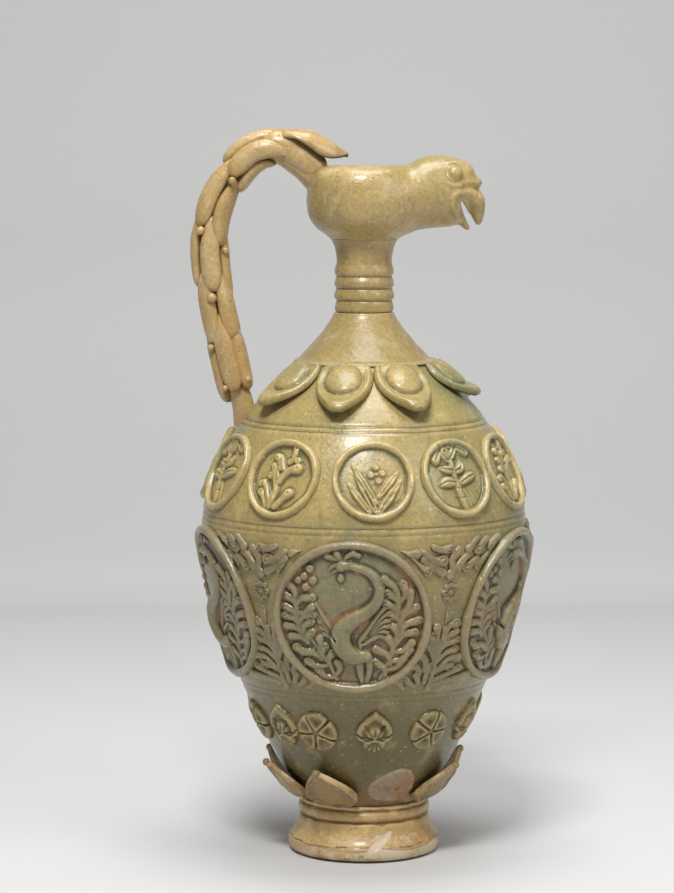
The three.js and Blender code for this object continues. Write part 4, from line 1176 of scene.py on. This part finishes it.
SPRAY = [
    [(-4.8, -18.0, 2.0), (-2.7, -12.4, 2.0), (-2.0, -6.2, 1.8), (-5.4, 3.1, 1.8), (-6.8, 7.4, 2.0)],
    [(-4.1, -18.0, 1.8), (-8.2, -8.1, 1.8), (-11.6, -3.1, 1.8)],
    [(-6.8, -19.2, 1.6), (-9.5, -13.0, 1.8), (-12.2, -9.3, 2.3)],
    [(-0.7, -18.0, 2.0), (4.1, -13.0, 2.0), (7.5, -9.3, 3.0)],
    [(-0.7, -2.5, 1.8), (-3.4, 3.1, 1.6), (-6.1, 8.1, 1.6)],
    [(-0.7, -2.5, 1.9), (2.0, 1.9, 2.0), (5.4, 5.0, 2.3), (10.2, 6.2, 3.1)],
    [(-2.0, 5.6, 1.6), (-3.4, 9.9, 1.6), (-5.4, 13.0, 2.4)],
    [(0.7, 5.6, 1.8), (-1.4, 10.5, 1.6), (-3.4, 13.6, 1.4)],
    [(5.4, 11.8, 1.4), (6.1, 15.5, 1.8), (6.1, 19.2, 1.9)],
]
SPRAY_BALLS = [
    (-7.5, 1.2, 2.6), (-13.6, -4.3, 2.4), (-12.2, -9.3, 2.6), (7.5, -9.3, 3.1), (10.2, 6.2, 3.3),
    (8.8, 11.2, 2.4), (4.1, 10.5, 2.3), (6.1, 19.2, 2.3), (-5.4, 12.4, 2.4), (4.8, 14.9, 1.6),
]

# Ferns between two medallions, from the tails to the heads of their rolls
SPANDREL = [
    [(-35.8, 40.1, 1.9), (-29.6, 39.5, 1.9), (-24.3, 39.8, 2.5)],
    [(-13.0, 43.3, 1.7), (-7.7, 41.7, 2.0), (-2.2, 42.1, 2.4)],
    [(-19.5, 40.4, 1.7), (-12.6, 35.3, 2.1), (-7.0, 35.0, 3.0)],
    [(-20.2, 36.3, 1.6), (-13.3, 31.4, 2.0), (-7.0, 27.9, 2.4)],
    [(-26.6, 35.6, 1.7), (-21.6, 31.4, 2.0), (-16.8, 29.5, 2.7)],
    [(4.2, 41.7, 1.7), (-0.7, 35.3, 1.9), (0.0, 29.5, 1.9), (-2.2, 26.0, 2.4)],
    [(10.5, 37.2, 1.7), (6.5, 34.0, 2.0), (3.8, 30.5, 2.5)],
    [(18.4, 34.7, 1.6), (13.3, 31.8, 2.0), (9.7, 29.4, 2.5)],
    [(27.8, 36.3, 1.5), (22.3, 33.4, 1.9), (18.6, 30.7, 2.5)],
    [(18.4, 46.9, 1.5), (14.6, 43.7, 1.7), (11.5, 41.1, 2.4)],
    [(26.4, 45.9, 1.6), (22.3, 43.0, 2.0), (18.4, 39.9, 2.5)],
    [(37.8, 46.2, 1.6), (33.7, 44.0, 1.9), (29.9, 41.2, 2.5)],
    [(-3.9, -20.3, 1.3), (-5.4, -12.2, 1.6), (-6.6, -6.8, 2.5)],
    [(-4.4, -26.7, 1.3), (-6.6, -18.3, 1.5), (-8.7, -12.6, 2.4)],
    [(-4.4, -29.8, 1.2), (-8.0, -21.7, 1.9), (-11.6, -17.3, 2.4)],
    [(-9.8, -35.2, 1.3), (-10.4, -29.1, 1.9), (-13.5, -25.3, 2.3)],
    [(-12.6, -37.2, 1.2), (-15.4, -32.8, 1.9), (-19.2, -31.1, 2.4)],
    [(-15.1, -46.0, 1.2), (-18.9, -42.6, 1.7), (-21.6, -40.4, 2.4)],
    [(-12.3, -43.9, 1.3), (-15.0, -38.0, 2.0)],
    [(-21.2, -47.0, 1.1), (-25.6, -42.6, 1.6), (-29.9, -39.8, 1.8)],
    [(-0.5, -12.9, 1.2), (2.3, -6.8, 1.6), (7.3, -5.1, 2.5)],
    [(-2.9, -20.7, 1.2), (1.9, -14.2, 1.5), (7.5, -10.5, 2.4)],
    [(-3.3, -25.0, 1.2), (1.1, -19.0, 1.7), (9.3, -16.2, 2.4)],
    [(-2.9, -30.4, 1.2), (2.5, -24.7, 1.6), (9.5, -22.4, 2.3)],
    [(0.8, -33.1, 1.3), (6.5, -28.6, 1.8), (13.5, -28.4, 2.4)],
    [(-4.4, -37.2, 1.2), (1.6, -34.5, 1.7), (8.6, -34.0, 2.3)],
    [(-2.9, -42.9, 1.2), (5.7, -39.6, 1.6), (15.3, -36.0, 2.3)],
    [(-5.1, -46.6, 1.1), (3.1, -44.2, 1.5), (18.0, -42.6, 2.2), (24.0, -41.0, 2.0)],
    [(-8.4, -43.9, 1.3), (-8.0, -36.9, 1.7), (-6.6, -32.8, 2.1)],
    [(-4.8, -48.7, 1.5), (-3.7, -35.2, 1.3), (-2.2, -21.7, 1.3), (-0.9, -8.2, 0.9)],
]


def wing(relief, tips, heart, middle):
    """A fan of feathers between its tips and its heart, parted by fine grooves."""
    heart, middle = np.array(heart, float), np.array(middle, float)
    lines = []
    for tip in np.array(tips):
        lines.append([tip, tip * 0.45 + middle * 0.55 + (tip - tips[2]) * 0.2, heart])
    for line in lines:
        relief.roll([(*point, radius) for point, radius in zip(line, (1.7, 2.3, 2.7))], 0.55, 0.3)
    for one, two in zip(lines, lines[1:]):
        relief.pressed.append([(a + b) / 2 for a, b in zip(one, two)])


def medallion(k, azimuth):
    relief = Relief(51.5, 51.5)
    wing(relief, LEFT_WING, (-9.5, -12.5), (-15.0, -6.5))
    wing(relief, RIGHT_WING, (6.5, -15.0), (13.0, -5.0))
    for line in LEGS + STEMS:
        relief.roll(line)
    for ax, ay, bx, by, curl in FRONDS:
        side = np.array([ay - by, bx - ax]) * (0.16 if curl == 0 else 0.2 * curl)
        middle = (ax + bx) / 2 - side[0], (ay + by) / 2 - side[1]
        relief.comma([(ax, ay, 1.4), (*middle, 2.15), (bx, by, 2.9)], -curl)
    for line in CREST + BILL:
        relief.roll(line)
    relief.roll(BIRD, 1.0)
    relief.ball(-5.9, 25.4, 2.3, 1.0)
    relief.ball(-5.9, 27.4, 1.6, 1.0)
    for x, y, radius in ROSETTE:
        relief.bead(x, y, radius * 1.2)
    for line in NAPE:
        relief.groove(line, 0.4, 0.55)
    relief.dimple(-5.6, 34.4, 0.8, 0.8)
    ring(relief, MEDALLION_RADIUS, 5.9, 40 + k)
    name = f"medallion_{k + 1}"
    ground = MEDALLION_RADIUS - RING_OVERLAP
    relief.lay(name, azimuth, MEDALLION_HEIGHT, glaze_relief, (name,), ground)


def blade(relief, start, end, radius=2.35):
    """A long leaf with an incised middle line."""
    start, end = np.array(start), np.array(end)
    middle = (start + end) / 2
    swell = start * 0.6 + end * 0.4
    relief.roll([(*start, 0.6), (*swell, radius), (*middle, radius), (*end, radius * 0.7)], 0.9)
    relief.pressed.append([start * 0.85 + end * 0.15, middle, end * 0.9 + start * 0.1])


def roundel(k, azimuth):
    """A ring round bamboo, a spray or blades by turns."""
    relief = Relief(27, 27, 0.4)
    kind = k % 3
    if kind == 2:
        for start, end in BLADES:
            blade(relief, start, end)
        for x, y, radius in BLADE_FLOWER:
            relief.bead(x, y, radius * 1.15)
    elif kind == 0:
        for line in BAMBOO:
            relief.roll(thicker(line, 1.2), 0.8, 0.3)
            if len(line) == 3:
                relief.pressed.append([point[:2] for point in line])
        for height in (-13, -7, -1, 5, 11):
            relief.groove([(-5.5, height + 0.6), (-1, height), (3.5, height + 0.6)], 0.4, 0.7)
    else:
        for line in SPRAY:
            relief.roll(thicker(line, 1.12), 0.95, 0.3)
        for x, y, radius in SPRAY_BALLS:
            relief.bead(x, y, 1.08 * radius)
    ring(relief, ROUNDEL_RADIUS, 5.0, 60 + k)
    name = f"roundel_{k + 1}"
    ground = ROUNDEL_RADIUS - RING_OVERLAP
    relief.lay(name, azimuth, ROUNDEL_HEIGHT, glaze_body, (name,), ground)


def flower(k, azimuth):
    """A domed disc of five dished petals round a button."""
    relief = Relief(16, 16, 0.38)
    reach = np.hypot(relief.across, relief.up * 0.94)
    turn = (np.arctan2(relief.up, relief.across) + 0.35 * k) * 5 / (2 * math.pi)
    side = np.abs(turn % 1 - 0.5) * 2
    lobe = 13.4 * (1 - 0.07 * side**4)
    disc = 4.1 * np.sqrt(unit(1 - (reach / lobe) ** 3.4))
    parting = (1 - side) * reach * 0.62
    disc -= 2.3 * bell(parting, 0.7) * unit(reach / 3) * (reach < lobe)
    disc -= 2.2 * bell(reach - 6.8, 3.2) * (1 - bell(parting, 2.2))
    relief.height = np.clip(disc, 0, None)
    relief.dimple(0, 0, 2.6, 1.1)
    relief.ball(0, 0, 1.9, 1.1, 0.9)
    relief.lay(f"lower_flower_{k + 1}", azimuth, SPRIG_HEIGHT, glaze_sprig)


def palmette(k, azimuth):
    """A pointed leaf round an arched heart, over a tuft of short rays."""
    relief = Relief(15, 18, 0.38)
    turn = np.arctan2(relief.up, relief.across)
    lower = unit(-np.sin(turn))
    edge = 11.4 + 5.4 * np.exp(-np.abs(turn - math.pi / 2) / 0.4) + 2.4 * lower**6
    edge = edge - 1.9 * bell(lower - 0.62, 0.16)
    reach = np.hypot(relief.across, relief.up) / edge
    relief.height = 3.9 * np.sqrt(unit(1 - reach**3.4))
    relief.height -= 2.2 * bell(reach - 0.5, 0.17) * (relief.up > -3)
    for x, tilt in ((-4.2, -1.4), (0, 0), (4.2, 1.4)):
        relief.groove([(x * 0.5, -0.5), (x + tilt, 6.2)], 0.75, 1.1)
    for side in (-1, 1):
        relief.groove([(side * 10.5, -0.5), (side * 5, -4.0), (side * 1.6, -2.6)], 0.8, 1.5)
    for x in (-3.4, -1.1, 1.1, 3.4):
        relief.groove([(x * 0.5, -5.5), (x * 1.6, -13)], 0.6, 0.95)
    relief.height = np.clip(relief.height, 0, None)
    relief.ball(0, -3.2, 1.5, 1.0, 1.6)
    relief.lay(f"lower_palmette_{k + 1}", azimuth, SPRIG_HEIGHT, glaze_sprig)


def spandrel(k, azimuth, turn):
    """Between two medallions: a spreading spray over a rosette, a bud and a fountain of ferns."""
    relief = Relief(40, 50.5)
    flip = -1 if k % 2 == 0 else 1
    for i, line in enumerate(SPANDREL):
        curl = (0, flip, -flip)[i % 3] if len(line) == 3 else 0
        relief.comma(thicker([(flip * x, y, radius) for x, y, radius in line], 1.12, 0.35), curl, 0.58)
    relief.roll([(0, 5.6, 0.6), (0, 1.4, 2.0), (-0.2, -3.4, 1.7), (-0.4, -7, 0.6)])
    relief.pressed.append([(0, 4), (0, -5)])
    relief.bead(0, 15, 1.7)
    for angle in np.arange(8) * math.pi / 4:
        x, y = math.cos(angle), math.sin(angle)
        relief.roll([(2.6 * x, 15 + 2.6 * y, 1.2), (4.9 * x, 15 + 4.9 * y, 1.9)])
        relief.pressed.append([(2.6 * x, 15 + 2.6 * y), (5.6 * x, 15 + 5.6 * y)])
    far = math.radians(turn) * wall_at(along_at(MEDALLION_HEIGHT))[0]
    for middle in (-far, far):
        gap = np.hypot(relief.across - middle, relief.up)
        relief.height[gap < MEDALLION_RADIUS + 0.3] = 0
    relief.lay(f"spandrel_{k + 1}", azimuth, MEDALLION_HEIGHT, glaze_relief)


# Places round the pot in degrees from its front
MEDALLIONS = [-73, -5, 67, 140, 213]
ROUNDELS = [-67, -33, 3, 37, 69, 101, 133, 165, 197, 229, 261]
SPRIGS = [5, 35, 65, 97, 129, 161, 193, 225, 257, 289, 314, 335]

for k, azimuth in enumerate(MEDALLIONS):
    medallion(k, azimuth)
    after = [*MEDALLIONS, MEDALLIONS[0] + 360][k + 1]
    spandrel(k, (azimuth + after) / 2, (after - azimuth) / 2)
for k, azimuth in enumerate(ROUNDELS):
    roundel(k, azimuth)
for k, azimuth in enumerate(SPRIGS):
    (flower if k % 2 else palmette)(k // 2, azimuth)


# Petals


def petal_grid(rows, columns, half_width, middle, bend, narrowest, power):
    """Shares down and across a petal, and its half width, widest at a middle share."""
    s, t = np.linspace(0, 1, rows)[:, None], eased(columns)
    return s, t, half_width * np.maximum(narrowest, np.cos((s - middle) * bend)) ** power


def shoulder_petal(k, azimuth, length):
    """A lotus petal under the collar: raised rim, arc round a boss and an upturned tip."""
    rows, columns = 70, 65
    s, t, half = petal_grid(rows, columns, PETAL_HALF_WIDTH, 0.32, 2.15, 0.06, 0.85)
    edge = 1 / np.hypot(1 / ((1 - np.abs(t)) * half + 0.01), 1 / ((1 - s) * length * 0.6 + 0.01))
    full = unit(edge / 3.0)
    thick = (2.7 + 2.2 * s**2) * np.sqrt(1 - (1 - full) ** 2)
    bead = 1.3 * bell(edge - 2.6, 2.2) * np.clip(s * 5, 0.3, 1)
    q = np.hypot((s - 0.34) * length / (14.0 - 3.0 * (s > 0.34)), t * half / 10.8)
    dome = 3.6 * unit(1 - q**2.4) ** 0.7
    arc = -0.75 * bell(q - 1.06, 0.1) * unit((s - 0.12) * 9)
    hollow = -0.7 * bell(q - 1.35, 0.3)
    noise = 0.3 * smooth_noise((rows, columns), (5, 5), 90 + k)
    rest = 0.3 + 7.4 * s**3
    lift = rest + thick + (bead + dome + arc + hollow + noise) * full
    root = wall.length - 0.3
    sway = 1.5 * math.sin(k * 2.1) * s**2
    top = on_wall(azimuth, root, half * t + sway, -length * s, lift)
    low = on_wall(azimuth, root, half * t * 0.93 + sway, -length * s * 0.98, rest * 0.86 - 0.5)
    shape = bead + dome + arc + hollow
    # Darker in the petal's hollows, round its edge and on its underside: partly pooled glaze, partly painted
    # shade
    relief = both(0.5 * (soften(shape, 2.5) - shape) + 0.16 * (1 - full), UNDERSIDE_SHADE)
    name = f"shoulder_petal_{k + 1}"
    slab(name, top, low, glaze_body, (name,), relief)


def foot_petal(k, azimuth):
    """A petal that springs from the foot and curls off the wall to a small round tip."""
    rows, columns = 60, 49
    s, t, half = petal_grid(rows, columns, FOOT_PETAL_HALF_WIDTH, 0.3, 2.3, 0.085, 0.9)
    half = half * np.sqrt(1 - ((0.34 - s).clip(0) / 0.38) ** 2)
    edge = np.minimum((1 - np.abs(t)) * half, (1 - s) * 24)
    full = unit(edge / 1.8)
    thick = (4.8 - 1.8 * s) * np.sqrt(1 - (1 - full) ** 2)
    bead = 0.8 * bell(edge - 1.6, 1.2) - 0.8 * bell(edge - 6, 3.6)
    rest = np.interp(s, [0, 0.12, 0.3, 0.6, 0.85, 1], [-1.8, 0.8, 3.0, 3.9, 5.6, 7.2])
    noise = 0.35 * smooth_noise((rows, columns), (4, 4), 120 + k)
    lift = rest + thick + (bead + noise) * full
    lean = -3.5 * s**1.5 * (1 if azimuth < 0 else -0.6)
    under = rest * (1 - 0.05 * s) - 4 * (1 - s / 0.4).clip(0)
    root = FOOT_PETAL_ROOT
    top = on_wall(azimuth, root, half * t + lean, FOOT_PETAL_LENGTH * s, lift)
    low = on_wall(azimuth, root, half * t * 0.94 + lean, (FOOT_PETAL_LENGTH - 0.6) * s, under)
    shape = bead * full
    # Darker in the petal's hollows and on its underside: partly pooled glaze, partly painted shade
    relief = both(0.6 * (soften(shape, 2.5) - shape) + 0.05, 0.4)
    wear = both(0.15 + 0.35 * (1 - full) + 0.35 * s**4, 0.3)
    slab(f"foot_petal_{k + 1}", top, low, glaze_foot_petal, (), relief, wear)
    tip = on_wall(azimuth, root, lean[-1, 0], 31.6, 8.6)
    ball_at(f"foot_petal_tip_{k + 1}", tip, 2.4, glaze_foot_petal, 130 + k)


def petal_scar(azimuth):
    """The rough bare seat of a foot petal that has broken away."""
    relief = Relief(19, 18, 0.45)
    reach = np.hypot((relief.across - 0.12 * relief.up) / 15.8, relief.up / 13.8)
    reach += 0.05 * np.sin(3 * np.arctan2(relief.up, relief.across) + 1)
    rough = smooth_noise(reach.shape, (9, 11), 5) + 0.5 * smooth_noise(reach.shape, (30, 36), 6)
    relief.height = unit((1 - reach) * 9) * (1.1 + 0.45 * rough)
    relief.lay("petal_scar", azimuth + 1.5, FOOT_HEIGHT + 14.8, scar_clay)


SHOULDER_PETALS = [-55, -14, 26, 76, 121, 166, 212]
SHORTER_PETALS = {0: 38.9, 3: 33.2}
FOOT_PETALS = [-67, -24, 20, 59, 106, 153, 199, 246]
BROKEN = 2

for k, azimuth in enumerate(SHOULDER_PETALS):
    shoulder_petal(k, azimuth, SHORTER_PETALS.get(k, PETAL_LENGTH))
for k, azimuth in enumerate(FOOT_PETALS):
    if k == BROKEN:
        petal_scar(azimuth)
    else:
        foot_petal(k, azimuth)


# Studio

# Height and focal length of the photograph in pixels, and how far the camera looks down in degrees
PHOTO_HEIGHT = 893
FOCAL_LENGTH = 3000
CAMERA_TILT = 5.8


def add_object(name, data):
    obj = bpy.data.objects.new(name, data)
    bpy.context.scene.collection.objects.link(obj)
    return obj


def camera():
    data = bpy.data.cameras.new("camera")
    data.sensor_fit = "VERTICAL"
    data.sensor_height = 36
    data.lens = FOCAL_LENGTH / PHOTO_HEIGHT * data.sensor_height
    made = add_object("camera", data)
    made.location = (-0.01695, -1.870, 0.444)
    made.rotation_euler = (math.radians(90 - CAMERA_TILT), 0, 0)
    bpy.context.scene.camera = made


def backdrop_paint():
    """Pale paint whose back is unseen, so that the pot can be looked at from behind the backdrop."""
    material = bpy.data.materials.new("floor")
    nodes = Nodes(material)
    shader = nodes.tree.nodes["Principled BSDF"]
    shader.inputs["Base Color"].default_value = (0.62, 0.62, 0.62, 1)
    shader.inputs["Roughness"].default_value = 0.7
    clear = nodes.add("BsdfTransparent")[0]
    sides = {0: nodes.add("NewGeometry")["Backfacing"], 1: shader.outputs[0], 2: clear}
    nodes.tree.links.new(nodes.add("MixShader", sides)[0], nodes.tree.nodes["Material Output"].inputs[0])
    return material


def floor():
    """A floor that sweeps up into the backdrop."""
    line = curve_through([(-3, 0), (0.6, 0), (1.1, 0.02), (1.5, 0.25), (1.7, 0.8), (1.75, 3)], 0.05)
    verts = [(x, y, z) for y, z in line for x in (-4, 4)]
    faces = [(2 * i, 2 * i + 1, 2 * i + 3, 2 * i + 2) for i in range(len(line) - 1)]
    mesh = bpy.data.meshes.new("floor")
    mesh.from_pydata(verts, [], faces)
    mesh.polygons.foreach_set("use_smooth", np.ones(len(mesh.polygons), bool))
    mesh.materials.append(backdrop_paint())
    add_object("floor", mesh)


def lamp(name, place, target, size, power):
    data = bpy.data.lights.new(name, "AREA")
    data.shape = "RECTANGLE"
    data.size, data.size_y = size
    data.energy = power
    made = add_object(name, data)
    made.location = place
    made.rotation_euler = (Vector(target) - Vector(place)).to_track_quat("-Z", "Y").to_euler()


camera()
floor()
lamp("key", (-0.2, -1.25, 1.95), (0, 0, 0.26), (0.55, 0.45), 38)
lamp("side", (1.2, -0.9, 1.2), (0, 0, 0.22), (0.5, 0.8), 6)
lamp("top", (0.05, 0.0, 1.7), (0, 0, 0.2), (0.8, 0.8), 16)

world = bpy.data.worlds.new("world")
world.use_nodes = True
background = world.node_tree.nodes["Background"]
background.inputs[0].default_value = (1, 0.985, 0.95, 1)
background.inputs[1].default_value = 0.2
bpy.context.scene.world = world
bpy.context.scene.view_settings.view_transform = "Standard"
